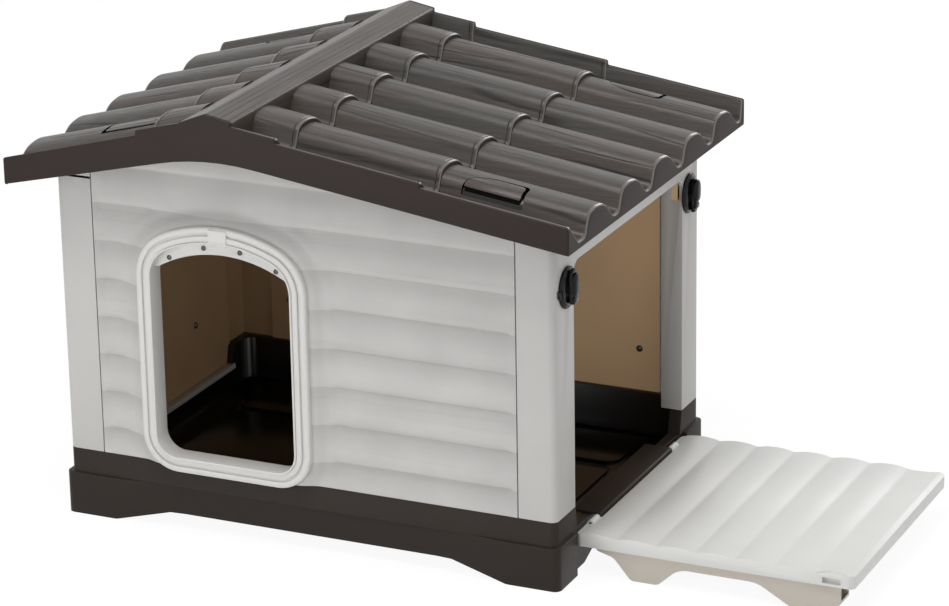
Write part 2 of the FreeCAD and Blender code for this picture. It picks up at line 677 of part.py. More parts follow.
def make_side_frame(side):
    """Two corner posts and a header round the side opening, one moulding; side is 1 or -1."""
    name = "right_side_frame" if side > 0 else "left_side_frame"
    body = new_body(name)
    out, wall = half_width, s.frame_wall
    back = out - s.post_width
    low, high = s.base_height, s.frame_top

    def lift(size):
        return size if side > 0 else -size

    outer = sketch_of(body, name + "_side", "YZ_Plane",
                      [box_corners(-half_depth, half_depth, low, high)], lift(out))
    pad(body, outer, s.post_width, back=side > 0)
    round_edges(body, s.corner_radius, lambda edge: runs_along(edge, "z")
                and near(abs(edge.CenterOfMass.x), out), name + "_corners")
    portal = sketch_of(body, name + "_portal", "YZ_Plane",
                       [box_corners(-portal_half, portal_half, low - 1, s.portal_top)], lift(out + 1))
    pocket(body, portal, s.post_width + 2, back=side < 0)
    round_edges(body, s.portal_radius, lambda edge: runs_along(edge, "x")
                and near(edge.CenterOfMass.z, s.portal_top), name + "_portal_corners")
    inner = out - wall
    reveal_y = portal_half + wall
    cells = [box_corners(-half_depth + wall, -reveal_y, low - 1, high - wall),
             box_corners(reveal_y, half_depth - wall, low - 1, high - wall),
             box_corners(-reveal_y + wall, reveal_y - wall, s.portal_top + wall, high - wall)]
    pocket(body, sketch_of(body, name + "_cells", "YZ_Plane", cells, lift(inner)), s.post_width,
           back=side < 0)
    trim = [(-reveal_y - 1, low - 1), (reveal_y + 1, low - 1), (reveal_y + 1, s.portal_top + wall + 1),
            (-reveal_y - 1, s.portal_top + wall + 1)]
    pocket(body, sketch_of(body, name + "_trim", "YZ_Plane", [trim], lift(out - s.reveal_depth)),
           s.post_width, back=side < 0)
    screw_x = roof_screw_x(side)
    tab_x = (screw_x - side * s.tab_half, side * (half_width - s.post_width + s.frame_wall))
    tabs = [box_corners(min(tab_x, key=float), max(tab_x, key=float), y - s.tab_half, y + s.tab_half)
            for y in (-s.screw_side, 1 * s.screw_side)]
    pad(body, sketch_of(body, name + "_tabs", "XY_Plane", tabs, high - s.tab_wall), s.tab_wall)
    bosses = [box_corners(screw_x - s.tab_half, screw_x + s.tab_half, y - s.tab_half, y + s.tab_half)
              for y in (-s.screw_side, 1 * s.screw_side)]
    pad(body, sketch_of(body, name + "_bosses", "XY_Plane", bosses, high - s.screw_grip - s.tab_wall),
        s.screw_grip + s.tab_wall)
    if side > 0:
        slots = [box_corners(out - wall - s.slot_width, out - wall, s.slot_bottom,
                             s.slot_bottom + s.slot_height)]
        pocket(body, sketch_of(body, name + "_slots", "XZ_Plane", slots), 2 * (reveal_y + 1), "Symmetric")
    return body


def make_frames():
    """Both frames are bored for the roof screws, and the right one for each knob's stem too."""
    for side, name in ((1, "right"), (-1, "left")):
        body = make_side_frame(side)
        bores = [upright_rod("%s_screw_bore_%s" % (name, tag), s.screw_shank + s.stem_play,
                             s.screw_grip * 2, roof_screw_x(side), end * s.screw_side,
                             s.frame_top - s.screw_grip * 1.5)
                 for end, tag in ((-1, "front"), (1, "rear"))]
        if side > 0:
            bores += [knob_rod("frame_bore_%s" % tag, s.stem_radius + s.stem_play, s.frame_wall * 3,
                               half_width - 2 * s.frame_wall, end)
                      for end, tag in ((-1, "front"), (1, "rear"))]
        tools = document.addObject("Part::MultiFuse", name + "_frame_bores")
        tools.Shapes = bores
        frame = document.addObject("Part::Cut", name + "_frame_bored")
        frame.Base, frame.Tool = body, tools
        sub_part(frame, name + "_side_frame")


def upright_rod(name, radius, length, x, y, z):
    """A Part::Cylinder that stands upright."""
    thing = document.addObject("Part::Cylinder", name)
    for prop, size in (("Radius", radius), ("Height", length), ("Placement.Base.x", x),
                       ("Placement.Base.y", y), ("Placement.Base.z", z)):
        bind(thing, prop, size)
    return thing


def knob_rod(name, radius, length, start_x, side):
    """A Part::Cylinder on a knob's axis."""
    thing = document.addObject("Part::Cylinder", name)
    bind(thing, "Radius", radius)
    bind(thing, "Height", length)
    thing.Placement.Rotation = FreeCAD.Rotation(FreeCAD.Vector(0, 1, 0), 90)
    bind(thing, "Placement.Base.x", start_x)
    bind(thing, "Placement.Base.y", side * s.knob_side)
    bind(thing, "Placement.Base.z", s.knob_height)
    return thing


def make_left_panel():
    """A siding panel that fills the left frame's opening, boards outwards."""
    half, slope = float(portal_half - s.seam), float(s.sill_slope)
    low, high = float(s.ledge_height), float(s.portal_top - s.seam)
    face = -float(half_width)
    start = float(s.base_height + s.first_groove - 2 * s.board_pitch)
    count = math.ceil((high - start) / float(s.board_pitch))
    back = face + float(s.board_depth)
    wire = wave_edges(start, count, s.board_pitch, s.board_depth, s.groove_radius,
                      lambda along, out: (back - out, along), s.siding_wall, "xz", -half)
    sheet_shape = Part.Face(wire).extrude(FreeCAD.Vector(0, 2 * half, 0))
    radius = float(s.portal_radius - s.seam)
    waist = float(s.base_height)
    outline = [(slope - half, low), (half - slope, low), (half, waist), (half, high), (-half, high),
               (-half, waist)]
    clip = prism(outline, "yz", face - 5, 60, [0, 0, 0, radius, radius, 0])
    wall = float(s.siding_wall)
    flange_face = face + float(s.board_depth) / 2
    ring = prism(outline, "yz", flange_face, s.wall_flange, [0, 0, 0, radius, radius, 0]).cut(
        prism(offset_corners(outline, wall), "yz", flange_face - 1, s.wall_flange + 2,
              [0, 0, 0, radius - wall, radius - wall, 0]))
    return shaped("left_side_panel", sheet_shape.common(clip).fuse(ring).removeSplitter())


def make_wall_screws():
    """Pan-head screws on the inner faces of the rear, front and left walls."""
    inner = half_depth - s.siding_wall - s.screw_lift
    side = s.siding_wall + s.screw_lift - half_width
    heads = []
    for y, along in ((inner, -1), (-inner, 1)):
        for x in (-250, 250):
            heads.append(screw(s.screw_head, (x, y, s.screw_height), (0, along, 0)))
    for y in (-85, 85):
        heads.append(screw(s.screw_head, (side, y, s.screw_height), (1, 0, 0)))
    return shaped("wall_screws", Part.makeCompound(heads))


def screw(head, point, along):
    """A pan head that stands on a surface, with a cross recess left plain."""
    length = float(head) * 0.55
    base = FreeCAD.Vector(*[float(c) for c in point])
    direction = FreeCAD.Vector(*along)
    skirt = Part.makeCylinder(float(head), length, base, direction)
    crown = Part.makeCone(float(head), float(head) * 0.6, length * 0.6, base + direction * length,
                          direction)
    return skirt.fuse(crown)


# ---------------------------------------------------------------- doorway

ring_face = boss_face - s.ring_front


def make_door_ring():
    ring = arch_prism(0, ring_face, s.ring_front).cut(
        arch_prism(-s.ring_width, ring_face - 1, s.ring_front + 2))
    middle = Part.Vertex(float(s.door_middle), float(ring_face), float(s.ring_spring))
    outer = [edge for edge in ring.Edges if near(edge.CenterOfMass.y, ring_face)
             and edge.distToShape(middle)[0] > float(s.ring_half - s.ring_groove_in)]
    ring = ring.makeFillet(float(s.ring_front) * 0.6, outer)
    groove = arch_prism(-s.ring_groove_in, ring_face - 1, s.ring_groove + 1).cut(
        arch_prism(-s.ring_groove_in - s.ring_groove, ring_face - 2, s.ring_groove + 3))
    return shaped("door_ring", ring.cut(groove))


def make_door_trim():
    front = ring_face - s.jamb_lip
    inner = -s.ring_width - s.jamb_wall
    sleeve = arch_prism(-s.ring_width, front, s.jamb_depth + s.jamb_lip).cut(
        arch_prism(inner, front - 1, s.jamb_depth + s.jamb_lip + 2))
    back = s.siding_wall - half_depth + s.board_depth
    flange = arch_prism(-s.ring_width + s.ring_groove_in, back, s.jamb_wall).cut(
        arch_prism(inner, back - 1, s.jamb_wall + 2))
    bridge = arch_prism(-s.ring_width, ring_face + s.jamb_depth, 0.01 + float(back + s.jamb_wall)
                        - float(ring_face + s.jamb_depth))
    bridge = bridge.cut(arch_prism(inner, ring_face, 60))
    return shaped("door_trim", sleeve.fuse(flange).fuse(bridge).removeSplitter())


strip_front = ring_face + s.strip_back
strip_grow = -s.ring_width - s.jamb_wall


def strip_screw_places():
    """Screws along the strip, evenly about the doorway's middle."""
    middle, reach = float(s.door_middle), float(s.ring_half) - 50
    return [(middle + side * reach * share, float(s.strip_peak) + rise)
            for side in (-1, 1) for share, rise in ((1.12, -11), (0.38, 6.5))]


def make_curtain_strip():
    plate = arch_prism(strip_grow, strip_front, s.strip_wall)
    bow = rod(s.strip_radius, (s.door_middle, strip_front - 1, s.strip_peak - s.strip_radius), (0, 1, 0),
              s.strip_wall + 2)
    ends = block(s.door_middle - s.ring_half, s.door_middle + s.ring_half, strip_front - 1,
                 strip_front + s.strip_wall + 1, 0, s.strip_peak - s.clip_width)
    plate = plate.cut(bow).cut(ends)
    for x, z in strip_screw_places():
        plate = plate.cut(rod(s.strip_screw / 2, (x, strip_front - 1, z), (0, 1, 0), s.strip_wall + 2))
    return shaped("curtain_strip", plate)


def make_strip_screws():
    screws = []
    for x, z in strip_screw_places():
        head = screw(s.strip_screw, (x, strip_front, z), (0, -1, 0))
        shank = rod(s.strip_screw / 2, (x, strip_front, z), (0, 1, 0), s.strip_wall)
        screws.append(head.fuse(shank))
    return shaped("curtain_strip_screws", Part.makeCompound(screws))


def make_door_clip():
    """A clip that hooks over the ring and holds the top of the strip."""
    body = new_body("door_clip")
    arch_top = s.ring_spring + s.ring_top_radius - corner_drop_of_ring()
    inside = arch_top - s.ring_width - s.jamb_wall
    high = arch_top - s.ring_groove
    face = ring_face - s.jamb_lip
    low, step = inside - s.clip_height / 2, inside - 2 * s.fit_gap
    profile = [(face - s.clip_wall, low), (strip_front, low), (strip_front, step), (face, step),
               (face, high), (face - s.clip_wall, high)]
    outline = sketch_of(body, "clip_side", "YZ_Plane", [profile], s.door_middle)
    pad(body, outline, s.clip_width, "Symmetric")
    round_edges(body, s.clip_wall / 2.5, lambda edge: near(edge.CenterOfMass.y, face - s.clip_wall),
                "clip_edges")
    return sub_part(body, "door_clip")


def corner_drop_of_ring():
    reach = float(s.ring_half - s.ring_high_radius)
    return math.sqrt(float(s.ring_top_radius - s.ring_high_radius) ** 2 - reach ** 2)


# ---------------------------------------------------------------- roof

tile_pitch = (s.roof_depth - s.gutter_front - s.gutter_rear) / s.tile_count


def tile_corners(side):
    """The section of a course: rims and barrels, over its valleys at height 0, anticlockwise.

    The steep flanks face the front on the right slope and the back on the left slope."""
    edge = float(roof_side) - 2
    low = float(s.eave_under - s.eave_deck)
    rise = float(s.rim_rise)
    rim = float(roof_side - s.rim_plate) - 3
    foot = float(s.gutter_front) - float(roof_side)
    pitch, flank = float(tile_pitch), float(s.flank_run)
    top = [(-edge, rise, 0), (-rim, rise, 3), (foot - 15, 0, s.valley_radius)]
    for i in range(int(float(s.tile_count))):
        start = foot + i * pitch
        top += [(start, 0, s.valley_radius), (start + flank, s.tile_peak, s.crest_radius),
                (start + pitch - float(s.valley_floor), 0, s.valley_radius)]
    last = foot + float(s.tile_count) * pitch - float(s.valley_floor)
    top += [(last + 5, 0, 3), (rim, rise, 2), (edge, rise, 0)]
    if side > 0:
        loop = [(-edge, low, 0), (edge, low, 0)] + top[::-1]
    else:
        loop = [(-edge, low, 0), (edge, low, 0)] + [(-y, z, r) for y, z, r in top]
    return [(float(y), float(z)) for y, z, r in loop], [float(r) for y, z, r in loop]


def courses(side):
    """Where each course runs, eave first: outer x, inner x, and its number."""
    cap = float(s.ridge_place) + side * float(s.cap_half)
    eave = side * float(roof_half)
    runs, low, number = [], eave, 0
    while (low - cap) * side > 1:
        high = low - side * float(s.course_length)
        if (high - cap) * side < float(s.course_length) * 0.25:
            high = cap
        runs.append((low, high, number))
        low, number = high, number + 1
    return runs


def slope_of(side):
    return float(s.slope_right if side > 0 else s.slope_left)


def deck(x, number, side):
    """Height of the valleys at x in a course."""
    run = float(roof_half) - side * x
    return float(s.eave_deck) + slope_of(side) * run + number * float(s.course_step)


def course_prism(side, low, high, number, corners, radii, lap, pull):
    """One course between two places, lapped under the course above it."""
    cap = float(s.ridge_place) + side * float(s.cap_half)
    start = low - side * pull
    end = high - side * lap if abs(high - cap) > 1e-6 else high + side * pull
    level = deck(start, number, side)
    section = [(y, z + level) for y, z in corners]
    lean = FreeCAD.Vector(end - start, 0, slope_of(side) * abs(end - start))
    return prism(section, "yz", start, 0, radii, lean)


def inner_section(side):
    """The same section, moved in by the wall, and open far below."""
    wall = float(s.roof_wall)
    corners, radii = tile_corners(side)
    inner = offset_corners(corners, wall)
    turned = []
    for i, radius in enumerate(radii):
        before, here, after = corners[i - 1], corners[i], corners[(i + 1) % len(corners)]
        cross = (here[0] - before[0]) * (after[1] - here[1]) - (here[1] - before[1]) * (after[0] - here[0])
        turned.append(0 if radius == 0 else max(0.0, radius - wall if cross > 0 else radius + wall))
    below = float(s.eave_under - s.eave_deck) - 80
    inner = [(y, below if i < 2 else z) for i, (y, z) in enumerate(inner)]
    limit = float(roof_side - s.rim_plate)
    inner = [(math.copysign(limit, y) if i < 2 or i in (2, len(inner) - 1) else y, z)
             for i, (y, z) in enumerate(inner)]
    return inner, turned


def fascia_corners():
    """Front view of a fascia plate: the arched lower edge, and the stepped rim over it."""
    half = float(roof_half)
    apex = under_apex()
    eave = float(s.eave_under)
    lower = [(-half, eave, 0), (apex[0], apex[1], s.apex_radius), (half, eave, 0)]
    upper = []
    for side in (1, -1):
        line = []
        for low, high, number in courses(side):
            line += [(low, deck(low, number, side) + float(s.rim_rise), 0),
                     (high, deck(high, number, side) + float(s.rim_rise), 0)]
        upper.append(line if side > 0 else line[::-1])
    ridge = float(s.ridge_place)
    cap = [(ridge + float(s.cap_half), float(s.cap_right), 2), (ridge, float(s.ridge_top), s.cap_round),
           (ridge - float(s.cap_half), float(s.cap_left), 0)]
    right, left = upper
    if abs(left[0][1] - cap[2][1]) < 1.0:
        cap[2] = (cap[2][0], left[0][1], 0)
        left = left[1:]
    loop = lower + right + cap + left
    return [(x, z) for x, z, r in loop], [float(r) for x, z, r in loop]


def saddle(drop, grow, low, reach):
    """The plain roof under the ridge cap."""
    ridge, cap = float(s.ridge_place), float(s.cap_half) + grow
    right, left = courses(1)[-1][2], courses(-1)[-1][2]
    corners = [(ridge - cap, low), (ridge + cap, low),
               (ridge + cap, deck(ridge + cap, right, 1) - drop), (ridge, float(s.ridge_deck) - drop),
               (ridge - cap, deck(ridge - cap, left, -1) - drop)]
    return prism(corners, "xz", -reach, 2 * reach)


def hatch_outline(side, end, straight, curved, z0, z1):
    """A hatch as an upright prism: straight along the eave and the rim, round towards the ridge."""
    eave = side * float(roof_half)
    away = float(s.hatch_right if side > 0 else s.hatch_left)
    low = eave - side * (away + straight)
    high = eave - side * (away + float(s.hatch_length) - curved)
    outer = end * (float(roof_side - s.hatch_rim) - straight)
    inner = end * (float(roof_side - s.hatch_rim - s.hatch_width) + curved)
    corners = [(high, outer), (low, outer), (low, inner), (high, inner)]
    radii = [3, 2, 6, float(s.hatch_radius) - curved]
    return prism(corners, "xy", z0, z1 - z0, radii)


def make_roof():
    """One moulding: courses of barrel tiles that lap each other, rims, fascia and eaves."""
    outer, inner = [], []
    wall = float(s.roof_wall)
    reach = float(roof_side) - 2
    low_level = float(s.eave_under) - 80
    for side in (1, -1):
        corners, radii = tile_corners(side)
        hollow, hollow_radii = inner_section(side)
        for low, high, number in courses(side):
            outer.append(course_prism(side, low, high, number, corners, radii, 8, 0))
            inner.append(course_prism(side, low, high, number, hollow, hollow_radii, 8, wall))
    outer.append(saddle(0, 0, float(s.ridge_deck) - 14, reach))
    inner.append(saddle(wall, wall, low_level, float(roof_side - s.rim_plate)))
    corners, radii = fascia_corners()
    for start in (-roof_side, roof_side - s.rim_plate):
        outer.append(prism(corners, "xz", start, s.rim_plate, radii))
    solid = fuse(outer)
    void = fuse(inner)
    roof = solid.cut(void)
    ceiling = float(s.ridge_top) + 50
    covers = []
    for side in (1, -1):
        for end in (-1, 1):
            seat = hatch_outline(side, end, -2.5, -2.5, low_level, ceiling).common(solid)
            lower = float(s.hatch_depth + s.hatch_floor) - wall
            seat = seat.cut(void.translated(FreeCAD.Vector(0, 0, -lower)))
            pocket_shape = hatch_outline(side, end, 0, 0, low_level, ceiling).common(solid)
            sunk = solid.translated(FreeCAD.Vector(0, 0, -float(s.hatch_depth)))
            pocket_shape = pocket_shape.cut(sunk)
            roof = roof.fuse(seat).cut(pocket_shape)
            cover = hatch_outline(side, end, float(s.hatch_gap), float(s.hatch_line), low_level, ceiling)
            covers.append((side, end, cover.common(pocket_shape)))
    for x, y in roof_screw_places():
        column = rod(s.screw_boss, (x, y, s.frame_top), (0, 0, 1), s.ridge_top).common(solid)
        sunk = solid.translated(FreeCAD.Vector(0, 0, -float(s.hatch_depth)))
        roof = roof.fuse(column.common(sunk))
        seat_height = s.frame_top + s.screw_seat
        roof = roof.cut(rod(s.screw_well, (x, y, seat_height), (0, 0, 1), s.ridge_top))
        roof = roof.cut(rod(s.screw_shank + s.stem_play, (x, y, s.frame_top - 1), (0, 0, 1), s.ridge_top))
    for x in (half_width - s.post_width / 2, s.post_width / 2 - half_width):
        for y in (half_depth - s.post_depth / 2, s.post_depth / 2 - half_depth):
            foot = block(x - s.roof_foot / 2, x + s.roof_foot / 2, y - s.roof_foot / 2, y + s.roof_foot / 2,
                         s.frame_top, s.ridge_top).common(solid)
            roof = roof.fuse(foot)
    shaped("roof", roof.removeSplitter())
    names = {(1, -1): "right_front", (1, 1): "right_rear", (-1, -1): "left_front", (-1, 1): "left_rear"}
    for side, end, cover in covers:
        shaped("hatch_cover_" + names[side, end], cover)


def roof_screw_x(side):
    """Where the roof screws of one side stand, from the middle of the house."""
    away = s.hatch_right if side > 0 else s.hatch_left
    return (roof_half - away - s.screw_in) * side


def roof_screw_places():
    return [(float(roof_screw_x(side)), end * float(s.screw_side)) for side in (1, -1) for end in (-1, 1)]


def make_roof_screws():
    """Four screws in wells under the hatch covers, which hold the roof to the side frames."""
    screws = []
    for x, y in roof_screw_places():
        seat_height = float(s.frame_top + s.screw_seat)
        head = screw(s.screw_cap, (x, y, seat_height), (0, 0, 1))
        shank = rod(s.screw_shank, (x, y, seat_height - float(s.screw_seat + s.screw_grip)), (0, 0, 1),
                    s.screw_seat + s.screw_grip)
        screws.append(head.fuse(shank))
    return shaped("roof_screws", Part.makeCompound(screws))


def make_ridge_cap():
    """The cap between the two fascia plates: a bent strip with a downturned edge on each side."""
    body = new_body("ridge_cap")
    ridge, half, wall = s.ridge_place, s.cap_half, s.roof_wall
    right, left = courses(1)[-1][2], courses(-1)[-1][2]
    foot_right = (s.eave_deck + s.slope_right * (roof_half - ridge - half) + right * s.course_step)
    foot_left = (s.eave_deck + s.slope_left * (roof_half + ridge - half) + left * s.course_step)
    outline = [(ridge - half, foot_left), (ridge - half, s.cap_left), (ridge, s.ridge_top),
               (ridge + half, s.cap_right), (ridge + half, foot_right),
               (ridge + half - wall, foot_right + s.cap_lift),
               (ridge + half - wall, s.cap_right - wall), (ridge, s.ridge_top - wall),
               (ridge - half + wall, s.cap_left - wall), (ridge - half + wall, foot_left + s.cap_lift)]
    section = sketch_of(body, "cap_section", "XZ_Plane", [outline])
    pad(body, section, s.roof_depth - 2 * s.rim_plate, "Symmetric")
    round_edges(body, s.cap_round, lambda edge: runs_along(edge, "y")
                and near(edge.CenterOfMass.z, s.ridge_top), "cap_ridge")
    return sub_part(body, "ridge_cap")


# ---------------------------------------------------------------- lip, hinge and porch

def make_lip():
    """The strip that clips over the sill, with the round nose that carries the hinge pins."""
    body = new_body("threshold_lip")
    inner = half_width - s.lip_reach
    top = s.ledge_height + s.lip_wall
    nose = hinge_x + s.knuckle
    hook = half_width - s.rim_width - s.fit_gap
    outline = box_corners(inner, nose, s.ledge_height, top)
    pad(body, sketch_of(body, "lip_section", "XZ_Plane", [outline]), s.lip_length, "Symmetric")
    round_edges(body, s.lip_round, lambda edge: runs_along(edge, "y") and near(edge.CenterOfMass.x, nose)
                and near(edge.CenterOfMass.z, top), "lip_nose_edge")
    catch = box_corners(hook - s.lip_wall, hook, s.ledge_height - 3 * s.lip_wall, top)
    pad(body, sketch_of(body, "lip_hook", "XZ_Plane", [catch]), s.lip_length - 20, "Symmetric")
    barrel = document.addObject("Part::Cylinder", "lip_barrel")
    lay_along_y(barrel, s.knuckle, s.lip_length, -s.lip_length / 2)
    whole = document.addObject("Part::MultiFuse", "lip_with_barrel")
    whole.Shapes = [body, barrel]
    cut = document.addObject("Part::Cut", "lip_bored")
    bores = document.addObject("Part::MultiFuse", "lip_bores")
    depth = s.lip_length / 2 - pin_inner()
    bores.Shapes = [lay_along_y(document.addObject("Part::Cylinder", "lip_bore_front"), s.hinge_pin,
                                depth, -s.lip_length / 2),
                    lay_along_y(document.addObject("Part::Cylinder", "lip_bore_rear"), s.hinge_pin,
                                depth, pin_inner())]
    cut.Base, cut.Tool = whole, bores
    return sub_part(cut, "threshold_lip")


def pin_inner():
    """How near the middle of the lip a hinge pin reaches."""
    return s.lip_length / 2 - s.knuckle_length


def lay_along_y(thing, radius, length, start):
    """Size a cylinder and lay it on the hinge line."""
    bind(thing, "Radius", radius)
    bind(thing, "Height", length)
    thing.Placement.Rotation = FreeCAD.Rotation(FreeCAD.Vector(1, 0, 0), -90)
    bind(thing, "Placement.Base.x", hinge_x)
    bind(thing, "Placement.Base.y", start)
    bind(thing, "Placement.Base.z", hinge_z)
    return thing


def make_hinge_pins():
    length = 2 * s.knuckle_length + s.lip_gap
    for side, end in ((-1, "front"), (1, "rear")):
        pin = document.addObject("Part::Cylinder", "hinge_pin_" + end + "_rod")
        start = pin_inner() if side > 0 else -pin_inner() - length
        lay_along_y(pin, s.hinge_pin, length, start)
        pin.Label = "hinge_pin_" + end
        bind(pin, "Placement.Base.x", hinge_x - origin_x)
        PIECES.append(pin)


def closed_height(x):
    """Height on the open panel of what lies at x when the panel is folded up against the posts."""
    return float(hinge_z + hinge_x - x)


def latch_pocket():
    """The pocket in the panel's edge for a locking bar: its middle, half width, depth and levels."""
    along = float(hinge_x + s.knob_height - hinge_z)
    half = float(s.bar_width / 2 + 3 * s.lock_play)
    depth = float(s.porch_width / 2 - (s.knob_side - s.bar_half - 2 * s.lock_play))
    low = closed_height(half_width + s.bar_back + s.bar_thick + s.lock_play)
    high = closed_height(half_width + s.bar_back - s.lock_play)
    return along, half, depth, low, high


def across(side, y0, y1):
    """Two distances from the middle, as a range of y on one side of it."""
    return min(side * y0, side * y1), max(side * y0, side * y1)


def make_porch_panel():
    """A waved top with a skirt and ribs, two ears with knuckles, and a recess and pocket for each knob."""
    top, wall = float(s.porch_top), float(s.porch_wall)
    inner, outer = float(half_width + s.ear_gap), float(s.porch_end)
    low, half = top - float(s.porch_skirt), float(s.porch_width) / 2
    valley = top - float(s.wave_depth)
    pitch = float(s.wave_pitch)
    count = math.ceil((outer - inner) / pitch) + 1
    start = outer - float(count) * pitch + pitch * 0.04

    def boards(drop):
        wire = wave_edges(start, count, pitch, s.wave_depth, s.wave_radius,
                          lambda along, out: (along, valley - drop + out), 60, "xz", -half - 1)
        return Part.Face(wire).extrude(FreeCAD.Vector(0, 2 * half + 2, 0))

    radius = float(s.porch_corner)
    plan = prism(box_corners(inner, outer, -half, half), "xy", low, top - low + 5, [radius] * 4)
    hollow_plan = prism(box_corners(inner + wall, outer - wall, wall - half, half - wall), "xy", low - 1,
                        top - low + 5, [radius - wall] * 4)
    panel = plan.common(boards(0)).cut(hollow_plan.common(boards(wall)))
    notch_y = float(s.lip_length / 2 + s.lip_gap)
    notch_x = float(hinge_x + s.knuckle + s.nose_gap)
    added = [block(notch_x, notch_x + wall, -notch_y - wall, notch_y + wall, low, valley)]
    for side in (-1, 1):
        added.append(block(inner, notch_x + wall, *across(side, notch_y, notch_y + wall), low, valley))
    panel = fuse([panel] + added)
    panel = panel.cut(block(inner - 1, notch_x, -notch_y, notch_y, low - 1, top + 10))
    rib = float(s.rib_wall) / 2
    parts, cuts = [panel], []
    for number in range(int(float(s.rib_count))):
        x = inner + pitch * (0.9 + number)
        parts.append(block(x - rib, x + rib, wall - half, half - wall, s.rail_top, valley - wall / 2))
    along, slot_half, depth, slot_low, slot_high = latch_pocket()
    recess = float(s.knob_radius) + 2 * float(s.lock_play)
    spread = math.sqrt(recess ** 2 - (float(s.knob_side) - half) ** 2) + wall
    for side in (-1, 1):
        y0, y1 = across(side, half - depth - wall, half)
        parts.append(block(along - slot_half - wall, along + slot_half + wall, y0, y1,
                           slot_low - wall / 2, valley))
        parts.append(block(along - spread, along + spread, y0, y1, slot_high, valley))
        cuts.append(block(along - slot_half, along + slot_half, *across(side, half - depth, half + 1),
                          slot_low, slot_high))
        cuts.append(rod(recess, (along, side * s.knob_side, recess_floor()), (0, 0, 1), 20))
        length = float(s.knuckle_length)
        parts.append(rod(s.knuckle, (hinge_x, side * notch_y, hinge_z), (0, side, 0), length))
        parts.append(block(hinge_x, notch_x + wall, *across(side, notch_y, notch_y + length),
                           hinge_z - s.knuckle, valley))
        cuts.append(rod(s.hinge_pin + s.hinge_play, (hinge_x, side * (notch_y - 0.5), hinge_z),
                        (0, side, 0), length + 1))
    panel = fuse(parts)
    for cut in cuts:
        panel = panel.cut(cut)
    return shaped("porch_panel", panel.removeSplitter())


def recess_floor():
    """Height of the half-round recess that takes a knob's flange when the porch is closed."""
    return closed_height(half_width + s.knob_flange + s.lock_play)


def make_foot_rails():
    """Two hollow rails with an arch between their feet, ribbed inside."""
    start, end, top = float(s.rail_start), float(s.rail_end), float(s.rail_top)
    foot, toe, arch = float(s.rail_foot), float(s.rail_toe), float(s.rail_arch)
    wall, width = float(s.rail_wall), float(s.rail_width)
    outline = [(start, top), (start, top - 8), (start + 22, top - 14), (start + 44, 0),
               (start + 44 + foot, 0), (start + 70 + foot, arch), (end - 70 - toe, arch),
               (end - 28 - toe, 0), (end - 28, 0),
               (end, top - 14), (end, top)]
    radii = [0, 4, 14, 8, 12, 30, 40, 16, 12, 10, 0]
    inner = offset_corners(outline, wall)
    inner[0] = (inner[0][0], top + 1)
    inner[-1] = (inner[-1][0], top + 1)
    inner_radii = [0, 2, 16, 6, 10, 32, 42, 14, 10, 8, 0]
    along, slot_half, depth, slot_low = latch_pocket()[:4]
    skin = float(s.porch_wall + s.fit_gap)
    for side, name in ((-1, "front"), (1, "rear")):
        face = side * (float(s.porch_width) / 2 - float(s.porch_wall) - 1)
        level = face if side < 0 else face - width
        room = block(along - slot_half - skin, along + slot_half + skin,
                     *across(side, float(s.porch_width) / 2 - depth - skin, float(s.porch_width) / 2),
                     slot_low - skin / 2 - float(s.fit_gap), top + 1)
        shell = prism(outline, "xz", level, width, radii).cut(
            prism(inner, "xz", level + wall, width - 2 * wall, inner_radii))
        inside = prism(outline, "xz", level, width, radii)
        ribs = [block(x - wall / 2, x + wall / 2, level, level + width, 0, top).common(inside)
                for x in (start + 44 + foot * 0.3, start + 44 + foot * 0.8, end - 28 - toe * 0.5)]
        rail = fuse([shell] + ribs).cut(room)
        shaped("porch_foot_rail_" + name, rail.removeSplitter())


# ---------------------------------------------------------------- knobs

